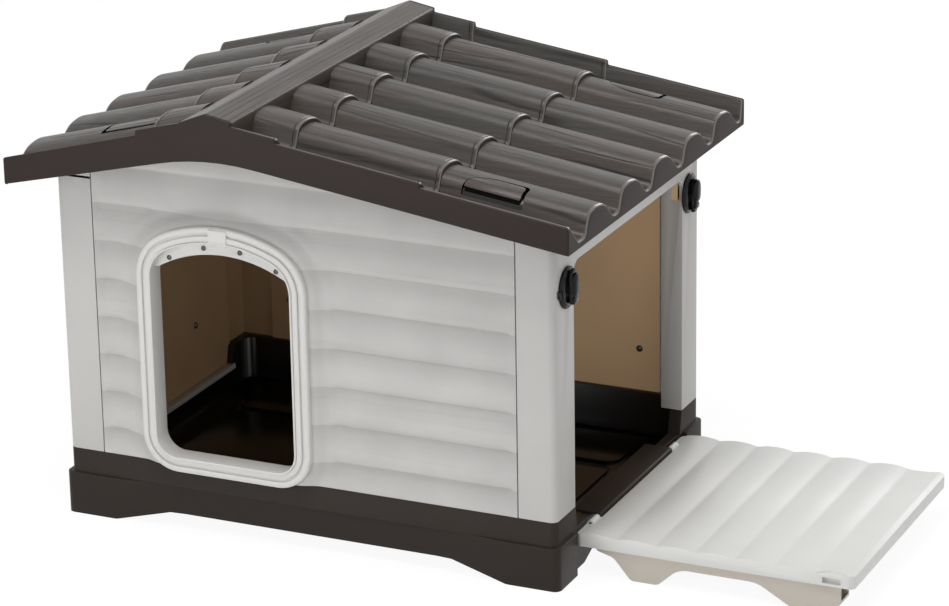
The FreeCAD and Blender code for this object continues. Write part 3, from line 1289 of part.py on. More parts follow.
def make_knobs():
    """A notched flange on the post, a stem through it, and an oblong bar that locks the closed porch."""
    for side, end in ((-1, "front"), (1, "rear")):
        name = "latch_knob_" + end
        body = new_body(name)
        post = half_width + s.fit_gap
        y, z = side * s.knob_side, s.knob_height
        flange = knob_rod(name + "_flange", s.knob_radius, s.knob_flange - s.fit_gap, post, side)
        stem = knob_rod(name + "_stem", s.stem_radius, s.bar_back + 4 * s.frame_wall,
                        half_width - 4 * s.frame_wall, side)
        wide, half = s.bar_width / 2, s.bar_half
        bar = sketch_of(body, name + "_bar", "YZ_Plane",
                        [box_corners(y - wide, y + wide, z - half, z + half)], half_width + s.bar_back)
        pad(body, bar, s.bar_thick)
        round_edges(body, wide * 0.9, lambda edge: runs_along(edge, "x"), name + "_ends")
        crown = sketch_of(body, name + "_crown", "YZ_Plane",
                          [box_corners(y - wide * 0.4, y + wide * 0.4, z - half * 0.8, z + half * 0.8)],
                          half_width + s.bar_back + s.bar_thick)
        pad(body, crown, s.bar_crown)
        edge_x = half_width + s.bar_back + s.bar_thick + s.bar_crown
        round_edges(body, s.bar_crown * 0.6, lambda edge: near(edge.CenterOfMass.x, edge_x), name + "_grip")
        whole = document.addObject("Part::MultiFuse", name + "_whole")
        whole.Shapes = [flange, stem, body]
        notches = []
        for turn, tag in ((-1, "a"), (1, "b")):
            notch = document.addObject("Part::Box", name + "_notch_" + tag)
            bind(notch, "Length", s.knob_flange + 2)
            bind(notch, "Width", s.knob_notch)
            bind(notch, "Height", s.knob_notch)
            bind(notch, "Placement.Base.x", half_width - 1)
            rim_y = y + turn * (s.knob_radius - s.knob_notch / 6)
            bind(notch, "Placement.Base.y", rim_y - s.knob_notch / 2)
            bind(notch, "Placement.Base.z", z - s.knob_notch / 2 + turn * s.knob_notch * 0.3)
            notches.append(notch)
        tools = document.addObject("Part::MultiFuse", name + "_notches")
        tools.Shapes = notches
        cut = document.addObject("Part::Cut", name + "_cut")
        cut.Base, cut.Tool = whole, tools
        sub_part(cut, name)
        ring = document.addObject("Part::Cut", "latch_washer_%s_cut" % end)
        washer_x = half_width - s.frame_wall - s.washer_wall - s.fit_gap
        ring.Base = knob_rod("latch_washer_%s_disc" % end, s.washer_radius, s.washer_wall, washer_x, side)
        ring.Tool = knob_rod("latch_washer_%s_hole" % end, s.stem_radius + s.stem_play,
                             s.washer_wall * 3, washer_x - s.washer_wall, side)
        sub_part(ring, "latch_washer_" + end)


# ---------------------------------------------------------------- build, check and write

def check(pieces):
    """Stop if a feature failed or a sub-part isn't a sound solid."""
    for thing in document.Objects:
        if "Invalid" in thing.State or "Error" in thing.State:
            raise ValueError("%s is in a bad state: %s" % (thing.Name, thing.State))
    for piece in pieces:
        shape = piece.Shape
        if shape.isNull() or not shape.isValid() or not shape.Solids:
            raise ValueError(piece.Label + " has no valid solid")


def build():
    make_base_tray()
    make_front_wall()
    make_rear_wall()
    make_frames()
    make_left_panel()
    make_wall_screws()
    make_door_ring()
    make_door_trim()
    make_curtain_strip()
    make_strip_screws()
    make_door_clip()
    make_roof()
    make_roof_screws()
    make_ridge_cap()
    make_lip()
    make_hinge_pins()
    make_porch_panel()
    make_foot_rails()
    make_knobs()
    document.recompute()
    check(PIECES)
    os.makedirs("parts", exist_ok=True)
    for piece in PIECES:
        piece.Shape.exportStep("parts/%s.step" % piece.Label)
        print("%-24s %d solids  %9.0f mm3" % (piece.Label, len(piece.Shape.Solids), piece.Shape.Volume))


build()
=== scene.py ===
"""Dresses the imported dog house: its moulded roof, siding, doorway, porch, knobs, and their plastics."""

import json
import math

import bmesh
import bpy
from mathutils import Matrix, Vector


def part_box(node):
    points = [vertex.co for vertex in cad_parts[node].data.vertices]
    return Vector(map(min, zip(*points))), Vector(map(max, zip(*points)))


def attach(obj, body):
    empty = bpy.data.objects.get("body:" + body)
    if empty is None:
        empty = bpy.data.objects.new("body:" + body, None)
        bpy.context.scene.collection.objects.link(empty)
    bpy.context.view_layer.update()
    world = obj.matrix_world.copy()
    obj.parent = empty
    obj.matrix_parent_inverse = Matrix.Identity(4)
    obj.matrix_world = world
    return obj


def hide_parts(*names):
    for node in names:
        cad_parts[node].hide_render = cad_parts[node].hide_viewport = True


bl_info = {
    "name": "Plastic Dog House",
    "version": (1, 0, 0),
    "blender": (4, 5, 0),
    "location": "3D View > Sidebar > Dog House",
    "description": "Builds the visible pieces and plastics of a dog house with a fold-up porch",
    "category": "Object",
}

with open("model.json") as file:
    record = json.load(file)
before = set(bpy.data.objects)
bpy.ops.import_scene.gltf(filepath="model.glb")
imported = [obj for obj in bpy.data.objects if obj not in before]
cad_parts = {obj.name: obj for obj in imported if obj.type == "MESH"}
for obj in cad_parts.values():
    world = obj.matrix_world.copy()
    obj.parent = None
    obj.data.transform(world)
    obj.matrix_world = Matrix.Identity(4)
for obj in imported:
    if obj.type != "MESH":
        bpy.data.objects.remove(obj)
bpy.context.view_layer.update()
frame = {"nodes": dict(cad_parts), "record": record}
NODES = frame["nodes"]
MM = 0.001
HOUSE_HALF = 327.0
# share of painted glow on the inside of the walls, at the left and at the right end
GLOW_LEFT, GLOW_RIGHT = 0.02, 0.42


def middle_of(node):
    """The middle of a CAD node's box, in metres."""
    low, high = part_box(node)
    return (low + high) / 2


# The middle of the house is the middle of its base: the porch shifts the part's origin to the right.
HOUSE_X = middle_of("base_tray").x


# ---------------------------------------------------------------- colours and stage settings

class HouseColours(bpy.types.PropertyGroup):
    """Colours of the plastics."""

    def colour(words, default):
        return bpy.props.FloatVectorProperty(name=words, description="Colour of the " + words.lower(),
                                             subtype="COLOR", size=3, min=0, max=1, default=default)

    roof: colour("Roof", (0.066, 0.050, 0.043))
    roof_grey: colour("Roof where it is greyer", (0.060, 0.056, 0.050))
    roof_dark: colour("Roof grain", (0.014, 0.011, 0.010))
    # painted highlight: the rolled edges of the courses are lighter than the roof, for the shine they catch
    bead: colour("Rolled edges of the courses", (0.15, 0.135, 0.125))
    fascia: colour("Fascia", (0.032, 0.023, 0.021))
    base: colour("Base", (0.026, 0.0195, 0.0155))
    # painted shade: the base's brown darkened nearly to black for the tub's inside, the hatch pockets and the lids'
    # edges
    tub: colour("Tub", (0.004, 0.0035, 0.003))
    wall: colour("Siding", (0.56, 0.55, 0.535))
    # painted light: the inside of the grey walls is tan, as the plastic looks with daylight through it
    inside: colour("Inside of the walls", (0.42, 0.28, 0.16))
    trim: colour("Door trim", (0.68, 0.67, 0.65))
    porch: colour("Porch", (0.74, 0.74, 0.72))
    rail: colour("Foot rails", (0.58, 0.53, 0.465))
    knob: colour("Knobs", (0.006, 0.006, 0.006))
    steel: colour("Screws", (0.20, 0.19, 0.18))


class StageSettings(bpy.types.PropertyGroup):
    """Camera lens and lamp power."""

    lens: bpy.props.FloatProperty(name="Lens", description="Focal length on a 36 mm sensor", default=141.2, min=20, max=300)
    lamp_power: bpy.props.FloatProperty(name="Lamp power", description="Power of the key lamp", default=42.0, min=0, unit="POWER")


PROPERTY_GROUPS = {"house_colours": HouseColours, "house_stage": StageSettings}


# ---------------------------------------------------------------- node helpers

class Graph:
    """Adds nodes to a node tree and joins them, so that a formula reads in one line."""

    def __init__(self, tree):
        self.tree = tree

    def node(self, kind, values=None, **settings):
        made = self.tree.nodes.new(kind)
        for name, value in settings.items():
            setattr(made, name, value)
        for key, value in (values or {}).items():
            self.give(made.inputs[key], value)
        return made

    def give(self, socket, value):
        if isinstance(value, bpy.types.NodeSocket):
            self.tree.links.new(value, socket)
        else:
            socket.default_value = value

    def maths(self, operation, *values, clamp=False):
        made = self.node("ShaderNodeMath", operation=operation, use_clamp=clamp)
        for socket, value in zip(made.inputs, values):
            self.give(socket, value)
        return made.outputs[0]

    def blend(self, factor, first, second, kind="RGBA", blend_type="MIX"):
        made = self.node("ShaderNodeMix", data_type=kind, blend_type=blend_type)
        places = {"RGBA": (0, 6, 7, 2), "FLOAT": (0, 2, 3, 0)}[kind]
        self.give(made.inputs[places[0]], factor)
        self.give(made.inputs[places[1]], first)
        self.give(made.inputs[places[2]], second)
        return made.outputs[places[3]]

    def vector(self, operation, *values, scale=None):
        made = self.node("ShaderNodeVectorMath", operation=operation)
        for socket, value in zip(made.inputs, values):
            self.give(socket, value)
        if scale is not None:
            self.give(made.inputs["Scale"], scale)
        return made.outputs[0]

    def ramp(self, value, low, high, to_low=0.0, to_high=1.0, smooth=False):
        made = self.node("ShaderNodeMapRange", {0: value, 1: low, 2: high, 3: to_low, 4: to_high},
                         interpolation_type="SMOOTHSTEP" if smooth else "LINEAR")
        return made.outputs[0]


def new_group(name, inputs, outputs, kind="ShaderNodeTree"):
    """An empty node group with named sockets, and its graph."""
    tree = bpy.data.node_groups.new(name, kind)
    for label, socket, default in inputs:
        made = tree.interface.new_socket(label, in_out="INPUT", socket_type=socket)
        if default is not None:
            made.default_value = default
    for label, socket in outputs:
        tree.interface.new_socket(label, in_out="OUTPUT", socket_type=socket)
    graph = Graph(tree)
    graph.ins = tree.nodes.new("NodeGroupInput").outputs
    graph.outs = tree.nodes.new("NodeGroupOutput").inputs
    return tree, graph


def colour4(rgb, share=1.0):
    return tuple(c * share for c in rgb) + (1.0,)


# ---------------------------------------------------------------- shared effects

def grain_group():
    """Moulded wood grain: long wavering lines along X, some of them gathered round knots."""
    tree, g = new_group("Moulded Grain", [
        ("Vector", "NodeSocketVector", None), ("Lines per Metre", "NodeSocketFloat", 150.0),
        ("Stretch", "NodeSocketFloat", 14.0), ("Waver", "NodeSocketFloat", 2.0),
        ("Base", "NodeSocketColor", (0.1, 0.08, 0.07, 1)), ("Tint", "NodeSocketColor", (0.1, 0.09, 0.08, 1)),
        ("Dark", "NodeSocketColor", (0.04, 0.03, 0.03, 1)),
        ("Depth", "NodeSocketFloat", 0.5)], [
        ("Color", "NodeSocketColor"), ("Height", "NodeSocketFloat"), ("Roughness", "NodeSocketFloat")])
    parts = g.node("ShaderNodeSeparateXYZ", {0: g.ins["Vector"]}).outputs
    along = g.maths("DIVIDE", parts["X"], g.ins["Stretch"])
    squeezed = g.node("ShaderNodeCombineXYZ", {0: along, 1: parts["Y"], 2: parts["Z"]}).outputs[0]
    drift = g.node("ShaderNodeTexNoise", {"Vector": squeezed, "Scale": 9.0, "Detail": 2.0}).outputs[0]
    shift = g.maths("MULTIPLY", g.maths("SUBTRACT", drift, 0.5), g.ins["Waver"])
    across = g.maths("MULTIPLY", parts["Y"], g.ins["Lines per Metre"])
    rings = g.maths("ADD", across, g.maths("MULTIPLY", shift, 10.0))
    lines = g.maths("PINGPONG", rings, 1.0)
    fine = g.node("ShaderNodeTexNoise", {"Vector": squeezed, "Scale": 210.0, "Detail": 3.0,
                                         "Roughness": 0.65}).outputs[0]
    sharp = g.ramp(lines, 0.0, 0.32, 1.0, 0.0, smooth=True)
    patch = g.ramp(g.node("ShaderNodeTexNoise", {"Vector": squeezed, "Scale": 34.0, "Detail": 1.0}).outputs[0],
                   0.42, 0.62, 0.0, 1.0, smooth=True)
    mark = g.maths("MULTIPLY", sharp, patch)
    streak = g.ramp(fine, 0.35, 0.7, 0.0, 1.0)
    depth = g.maths("ADD", g.maths("MULTIPLY", mark, 0.75), g.maths("MULTIPLY", streak, 0.35))
    dark = g.maths("MULTIPLY", depth, g.ins["Depth"], clamp=True)
    cloud = g.node("ShaderNodeTexNoise", {"Vector": squeezed, "Scale": 24.0, "Detail": 2.0}).outputs[0]
    body = g.blend(g.ramp(cloud, 0.38, 0.6), g.ins["Base"], g.ins["Tint"])
    g.give(g.outs["Color"], g.blend(dark, body, g.ins["Dark"]))
    g.give(g.outs["Height"], g.maths("SUBTRACT", 1.0, depth))
    g.give(g.outs["Roughness"], g.ramp(depth, 0.0, 1.0, 0.0, 0.2))
    return tree


def mottle_group():
    """Slow changes of shade over a moulding, with a fine eroded texture."""
    tree, g = new_group("Moulded Mottle", [
        ("Vector", "NodeSocketVector", None), ("Patch Scale", "NodeSocketFloat", 6.0),
        ("Speck Scale", "NodeSocketFloat", 900.0), ("Color", "NodeSocketColor", (0.5, 0.5, 0.5, 1)),
        ("Strength", "NodeSocketFloat", 0.08)], [
        ("Color", "NodeSocketColor"), ("Height", "NodeSocketFloat")])
    patch = g.node("ShaderNodeTexNoise", {"Vector": g.ins["Vector"], "Scale": g.ins["Patch Scale"],
                                          "Detail": 3.0}).outputs[0]
    speck = g.node("ShaderNodeTexNoise", {"Vector": g.ins["Vector"], "Scale": g.ins["Speck Scale"],
                                          "Detail": 2.0}).outputs[0]
    share = g.maths("MULTIPLY", g.ramp(patch, 0.3, 0.7, -1.0, 1.0), g.ins["Strength"])
    factor = g.maths("ADD", 1.0, share)
    grey = g.node("ShaderNodeCombineXYZ", {0: factor, 1: factor, 2: factor}).outputs[0]
    g.give(g.outs["Color"], g.blend(1.0, g.ins["Color"], grey, blend_type="MULTIPLY"))
    g.give(g.outs["Height"], speck)
    return tree


def within_group():
    """A soft mask of what lies inside a box of the part."""
    tree, g = new_group("Inside The House", [
        ("Vector", "NodeSocketVector", None), ("Middle", "NodeSocketVector", (0.0, 0.0, 0.0)),
        ("Half Size", "NodeSocketVector", (1.0, 1.0, 1.0)), ("Edge", "NodeSocketFloat", 0.001)], [
        ("Mask", "NodeSocketFloat")])
    away = g.node("ShaderNodeVectorMath", {0: g.ins["Vector"], 1: g.ins["Middle"]}, operation="SUBTRACT").outputs[0]
    far = g.node("ShaderNodeVectorMath", {0: away}, operation="ABSOLUTE").outputs[0]
    beyond = g.node("ShaderNodeVectorMath", {0: far, 1: g.ins["Half Size"]}, operation="SUBTRACT").outputs[0]
    parts = g.node("ShaderNodeSeparateXYZ", {0: beyond}).outputs
    worst = g.maths("MAXIMUM", g.maths("MAXIMUM", parts["X"], parts["Y"]), parts["Z"])
    inside = g.maths("DIVIDE", g.maths("MULTIPLY", worst, -1.0), g.ins["Edge"], clamp=True)
    g.give(g.outs["Mask"], inside)
    return tree


def group_for(maker):
    """One shared copy of each effect."""
    name = {grain_group: "Moulded Grain", mottle_group: "Moulded Mottle", within_group: "Inside The House"}[maker]
    return bpy.data.node_groups.get(name) or maker()


# ---------------------------------------------------------------- materials

def new_material(name):
    """A material with a Principled BSDF, its graph, and Object coordinates."""
    made = bpy.data.materials.new(name)
    made.use_nodes = True
    g = Graph(made.node_tree)
    g.shader = made.node_tree.nodes["Principled BSDF"]
    g.place = g.node("ShaderNodeTexCoord").outputs["Object"]
    return made, g


def effect(g, maker, **values):
    used = g.node("ShaderNodeGroup", node_tree=group_for(maker))
    for key, value in values.items():
        g.give(used.inputs[key.replace("_", " ")], value)
    return used.outputs


def bump(g, height, strength, distance):
    made = g.node("ShaderNodeBump", {"Height": height, "Strength": strength, "Distance": distance})
    g.give(g.shader.inputs["Normal"], made.outputs[0])


def plain_plastic(name, rgb, roughness, speck=900.0, speck_depth=0.00002, strength=0.04, shine=0.4):
    """A moulded plastic with slow shade changes and an eroded surface."""
    made, g = new_material(name)
    g.shader.inputs["Specular IOR Level"].default_value = shine
    mottle = effect(g, mottle_group, Vector=g.place, Color=colour4(rgb), Strength=strength, Speck_Scale=speck)
    g.give(g.shader.inputs["Base Color"], mottle["Color"])
    g.give(g.shader.inputs["Roughness"], g.ramp(mottle["Height"], 0.3, 0.7, roughness - 0.04, roughness + 0.04))
    bump(g, mottle["Height"], 0.5, speck_depth)
    return made


def grained_plastic(name, colours, way="tiles", roughness=0.36, lines=150.0, stretch=14.0, depth=1.0, high=0.0007):
    """Plastic with moulded wood grain: along X on the tiles, along Y on the cap, level on the walls.

    colours are those of the body, of its tinted patches and of the lines."""
    made, g = new_material(name)
    g.shader.inputs["Specular IOR Level"].default_value = 0.4
    parts = g.node("ShaderNodeSeparateXYZ", {0: g.place}).outputs
    along, across, rise = {"tiles": (parts["X"], parts["Y"], parts["Z"]), "cap": (parts["Y"], parts["X"], parts["Z"]),
                           "walls": (g.maths("ADD", parts["X"], parts["Y"]), parts["Z"], 0.0)}[way]
    place = g.node("ShaderNodeCombineXYZ", {0: along, 1: across, 2: rise}).outputs[0]
    body, tint, dark = colours
    grain = effect(g, grain_group, Vector=place, Base=colour4(body), Tint=colour4(tint), Dark=colour4(dark),
                   Depth=depth, Lines_per_Metre=lines, Stretch=stretch)
    mottle = effect(g, mottle_group, Vector=g.place, Color=grain["Color"], Strength=0.05, Patch_Scale=14.0)
    # on the walls the grain colour gets painted shade under each groove
    g.give(g.shader.inputs["Base Color"], boards_with_painted_shade(g, mottle["Color"]) if way == "walls" else mottle["Color"])
    g.give(g.shader.inputs["Roughness"], g.maths("ADD", grain["Roughness"], roughness))
    bump(g, grain["Height"], 0.7, high)
    return made


def boards_with_painted_shade(g, colour):
    """The colour with painted shade: darker at the top of each board, just under the groove above it."""
    height = g.node("ShaderNodeSeparateXYZ", {0: g.place}).outputs["Z"]
    turns = g.maths("DIVIDE", g.maths("SUBTRACT", height, FIRST_GROOVE * MM), BOARD_PITCH * MM)
    board = g.maths("FRACT", g.maths("ADD", turns, 16.0))
    shade = g.ramp(board, 0.3, 1.0, 1.0, GROOVE_SHADE, smooth=True)
    grey = g.node("ShaderNodeCombineXYZ", {0: shade, 1: shade, 2: shade}).outputs[0]
    return g.blend(1.0, colour, grey, blend_type="MULTIPLY")


def plastic_with_painted_glow(name, rgb):
    """The inside of a wall with painted glow: its emission stands in for daylight through the plastic, more of it
    towards the side opening and higher up.
    """
    made = plain_plastic(name, rgb, 0.5, strength=0.1)
    g = Graph(made.node_tree)
    place = g.node("ShaderNodeTexCoord").outputs["Object"]
    across = g.node("ShaderNodeSeparateXYZ", {0: place}).outputs["X"]
    left, right = HOUSE_X - HOUSE_HALF * MM, HOUSE_X + HOUSE_HALF * MM
    share = g.ramp(across, left, right, GLOW_LEFT, GLOW_RIGHT)
    height = g.node("ShaderNodeSeparateXYZ", {0: place}).outputs["Z"]
    share = g.maths("MULTIPLY", share, g.ramp(height, 0.08, 0.38, 0.45, 1.0))
    cloud = g.node("ShaderNodeTexNoise", {"Vector": place, "Scale": 5.0, "Detail": 1.0}).outputs[0]
    share = g.maths("MULTIPLY", share, g.ramp(cloud, 0.3, 0.7, 0.85, 1.15))
    grey = g.node("ShaderNodeCombineXYZ", {0: share, 1: share, 2: share}).outputs[0]
    shader = made.node_tree.nodes["Principled BSDF"]
    g.give(shader.inputs["Emission Color"], g.blend(1.0, colour4(rgb), grey, blend_type="MULTIPLY"))
    shader.inputs["Emission Strength"].default_value = 1.0
    return made


def make_materials():
    c = bpy.context.scene.house_colours
    made = {
        "roof": grained_plastic("roof_grained", (c.roof, c.roof_grey, c.roof_dark)),
        "cap": grained_plastic("ridge_grained", (c.roof, c.roof_grey, c.roof_dark), way="cap"),
        # painted highlight on the rolled edges of the courses
        "bead": plain_plastic("bead_worn", c.bead, 0.25),
        "fascia": plain_plastic("fascia_brown", c.fascia, 0.5, shine=0.14),
        "base": plain_plastic("base_brown", c.base, 0.5, shine=0.17),
        "wall": grained_plastic("siding_grey", (c.wall, [t * 0.97 for t in c.wall], [t * 0.86 for t in c.wall]),
                                way="walls", roughness=0.45, lines=120.0, stretch=22.0, depth=0.2, high=0.0002),
        # painted light: tan inside faces with painted glow
        "inside": plastic_with_painted_glow("inside_tan", c.inside),
        # painted shade for the tub, the hatch pockets and the lids' edges
        "tub": plain_plastic("tub_brown", c.tub, 0.22, shine=0.4),
        "frame": plain_plastic("post_grey", c.wall, 0.42),
        "trim": plain_plastic("trim_white", c.trim, 0.32),
        "porch": plain_plastic("porch_white", c.porch, 0.4),
        "rail": plain_plastic("rail_beige", c.rail, 0.35),
        "knob": plain_plastic("knob_black", c.knob, 0.14, shine=0.18),
        "steel": plain_plastic("plated_steel", c.steel, 0.35),
    }
    steel = made["steel"].node_tree.nodes["Principled BSDF"]
    steel.inputs["Metallic"].default_value = 0.9
    return made


MATERIALS = {}


def material(name):
    if not MATERIALS:
        MATERIALS.update(make_materials())
    return MATERIALS[name]


NODE_FINISH = {
    "base_tray": "base", "threshold_lip": "base", "front_wall": "wall", "rear_wall": "wall",
    "left_side_frame": "frame", "left_side_panel": "wall", "right_side_frame": "frame", "wall_screws": "steel",
    "door_ring": "trim", "door_trim": "trim", "curtain_strip": "trim", "curtain_strip_screws": "steel",
    "door_clip": "trim", "hinge_pin_front": "steel", "hinge_pin_rear": "steel", "porch_panel": "porch",
    "porch_foot_rail_front": "rail", "porch_foot_rail_rear": "rail", "latch_knob_front": "knob",
    "latch_washer_front": "steel", "latch_knob_rear": "knob", "latch_washer_rear": "steel", "roof": "roof",
    "ridge_cap": "cap", "roof_screws": "steel", "hatch_cover_right_front": "roof",
    "hatch_cover_right_rear": "roof", "hatch_cover_left_front": "roof", "hatch_cover_left_rear": "roof",
}


# ---------------------------------------------------------------- shapes

def at(x, y, z):
    """A place in the house's own millimetres, as the frame's metres."""
    return Vector((x * MM + HOUSE_X, y * MM, z * MM))


def rounded(corners, closed=True, turn=9.0):
    """An outline through corners (a, b, radius), with an arc of points at each radius."""
    line = []
    for i, (a, b, radius) in enumerate(corners):
        here = Vector((a, b))
        if radius <= 0 or (not closed and i in (0, len(corners) - 1)):
            line.append(here)
            continue
        before = Vector(corners[i - 1][:2]) - here
        after = Vector(corners[(i + 1) % len(corners)][:2]) - here
        half = before.angle(after) / 2
        reach = min(radius / math.tan(half), before.length * 0.49, after.length * 0.49)
        centre = here + (before.normalized() + after.normalized()).normalized() * (reach / math.cos(half))
        first = here + before.normalized() * reach - centre
        last = here + after.normalized() * reach - centre
        sweep = math.atan2(first.cross(last), first.dot(last))
        steps = max(1, math.ceil(abs(math.degrees(sweep)) / turn))
        for step in range(steps + 1):
            line.append(centre + Matrix.Rotation(sweep * step / steps, 2) @ first)
    return line


def skin(name, rows, wrap_rows=False, wrap_columns=True, caps=False):
    """A mesh through rows of places, its faces outwards."""
    made = bmesh.new()
    grid = [[made.verts.new(place) for place in row] for row in rows]
    size = len(grid[0])
    for i in range(len(grid) - (0 if wrap_rows else 1)):
        upper, lower = grid[i], grid[(i + 1) % len(grid)]
        for j in range(size - (0 if wrap_columns else 1)):
            k = (j + 1) % size
            made.faces.new((upper[j], upper[k], lower[k], lower[j]))
    if caps:
        made.faces.new(grid[0])
        made.faces.new(grid[-1])
    return finished(name, made)


def finished(name, made):
    """A mesh from bmesh, its normals turned outwards."""
    bmesh.ops.remove_doubles(made, verts=made.verts, dist=1e-6)
    bmesh.ops.recalc_face_normals(made, faces=made.faces)
    mesh = bpy.data.meshes.new(name)
    made.to_mesh(mesh)
    made.free()
    return mesh


def prism(name, outline, place, start, end, edge=0.0):
    """A prism of an outline between two levels, its edges rounded by edge. place(a, b, level) gives its corners."""
    rows = [[place(a, b, level) for a, b in outline] for level in (start, end)]
    mesh = skin(name, rows, caps=True)
    return worked(mesh, rounding(edge)) if edge else mesh


def inset(outline, step):
    """The outline moved inwards by step along the normals of its corners."""
    area = sum(a.cross(b) for a, b in zip(outline, outline[1:] + outline[:1]))
    turn = 1.0 if area > 0 else -1.0
    moved = []
    for i, here in enumerate(outline):
        before = (here - outline[i - 1]).normalized()
        after = (outline[(i + 1) % len(outline)] - here).normalized()
        normal = Vector((-before.y - after.y, before.x + after.x)) * turn
        moved.append(here + normal.normalized() * step / max(0.5, normal.length / 2))
    return moved


def moulded(name, outline, place, start, end, edge):
    """A prism of an outline whose rims are rounded by edge at both ends."""
    steps = [(edge * (1 - math.sin(a)), edge * (1 - math.cos(a))) for a in (0, 0.39, 0.79, 1.18, math.pi / 2)]
    levels = [(start + rise, step) for step, rise in steps] + [(end - rise, step) for step, rise in steps[::-1]]
    rows = [[place(a, b, level) for a, b in inset(outline, step)] for level, step in levels]
    return skin(name, rows, caps=True)


def rounding(edge, angle=30.0, segments=3):
    return ("BEVEL", {"width": edge * MM, "segments": segments, "limit_method": "ANGLE",
                      "angle_limit": math.radians(angle), "use_clamp_overlap": True})


def worked(mesh, *modifiers):
    """The mesh with modifiers applied, each given as its kind and settings."""
    maker = bpy.data.objects.new(mesh.name + "_maker", mesh)
    bpy.context.scene.collection.objects.link(maker)
    for kind, settings in modifiers:
        used = maker.modifiers.new(kind.lower(), kind)
        for name, value in settings.items():
            setattr(used, name, value)
    return settled(maker)


def settled(maker):
    """The plain mesh of a maker with its modifiers, and the maker gone."""
    graph = bpy.context.evaluated_depsgraph_get()
    mesh = bpy.data.meshes.new_from_object(maker.evaluated_get(graph), depsgraph=graph)
    mesh.name = maker.data.name
    bpy.data.objects.remove(maker)
    return mesh


def grown(name, tree, values, base=None):
    """The mesh that a geometry tree grows with these inputs."""
    maker = bpy.data.objects.new(name + "_maker", base or bpy.data.meshes.new(name))
    bpy.context.scene.collection.objects.link(maker)
    used = maker.modifiers.new("growth", "NODES")
    used.node_group = tree
    sockets = {item.name: item.identifier for item in tree.interface.items_tree if item.in_out == "INPUT"}
    for label, value in values.items():
        used[sockets[label]] = value
    return settled(maker)


def cut_by(mesh, *cutters, keep=False):
    """The mesh less the cutters, or what it shares with them."""
    operation = "INTERSECT" if keep else "DIFFERENCE"
    tools = []
    for cutter in cutters:
        tool = bpy.data.objects.new("cutter", cutter)
        bpy.context.scene.collection.objects.link(tool)
        tool.hide_render = True
        tools.append(tool)
    made = worked(mesh, *[("BOOLEAN", {"object": tool, "operation": operation, "solver": "EXACT"})
                          for tool in tools])
    for tool in tools:
        bpy.data.objects.remove(tool)
    return made


def joined(name, meshes):
    """Several meshes as one."""
    made = bmesh.new()
    for mesh in meshes:
        made.from_mesh(mesh)
    whole = bpy.data.meshes.new(name)
    made.to_mesh(whole)
    made.free()
    return whole


RECORD = frame["record"]
BODY_OF = {node: body for body, nodes in RECORD["behaviour"]["bodies"].items() for node in nodes}


def show(name, mesh, finish, node, crease=32.0, also=()):
    """Show a mesh as the piece that stands for a CAD node and moves with its body.

    also has pairs of a test and a finish: a face gets the first finish whose test(middle, normal) holds."""
    mesh.materials.clear()
    for used in [finish] + [other for test, other in also]:
        mesh.materials.append(material(used))
    for face in mesh.polygons:
        middle = Vector(((face.center.x - HOUSE_X) / MM, face.center.y / MM, face.center.z / MM))
        holds = [i + 1 for i, (test, other) in enumerate(also) if test(middle, face.normal)]
        face.material_index = holds[0] if holds else 0
    mesh.shade_smooth()
    mesh.set_sharp_from_angle(angle=math.radians(crease))
    piece = bpy.data.objects.new(name, mesh)
    bpy.context.scene.collection.objects.link(piece)
    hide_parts(node)
    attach(piece, BODY_OF[node])
    return piece


def copied(node):
    """A CAD node's mesh, merged, as a mesh of its own."""
    made = bmesh.new()
    made.from_mesh(NODES[node].data)
    bmesh.ops.remove_doubles(made, verts=made.verts, dist=1e-5)
    bmesh.ops.dissolve_limit(made, angle_limit=math.radians(0.5), verts=made.verts, edges=made.edges)
    mesh = bpy.data.meshes.new(node + "_softened")
    made.to_mesh(mesh)
    made.free()
    return mesh


# ---------------------------------------------------------------- roof

ROOF_HALF, ROOF_SIDE = 367.0, 280.0
EAVE_UNDER, EAVE_DECK = 435.0, 443.0
SLOPES = {1: 0.14, -1: 0.264}
UNDER_SLOPES = {1: 0.14, -1: 0.235}
COURSES = {1: ((367, 184), (184, 1), (1, -57)), -1: ((-367, -184), (-184, -127))}
COURSE_STEP, COURSE_LAP = 6.0, 8.0
TILE_PITCH, TILE_COUNT = 100.0, 5
BARREL = ((8, 0, 7), (19, 25, 17), (40, 27.6, 60), (66, 24, 40), (93, 0, 18))
FIRST_TILE = -237.0
RIM_RISE, RIM_PLATE = 24.6, 5.0
RIDGE, RIDGE_TOP, CAP_HALF = -92.0, 551.5, 35.0
APEX = -92.97
CAP_EDGES = {1: 545.0, -1: 537.0}
HATCH_AWAY = {1: 80.0, -1: 104.0}
HATCH_OUTER, HATCH_INNER = 225.0, 196.0


def deck(x, number, side):
    """Height of the valleys of a course at x."""
    return EAVE_DECK + SLOPES[side] * (ROOF_HALF - side * x) + number * COURSE_STEP


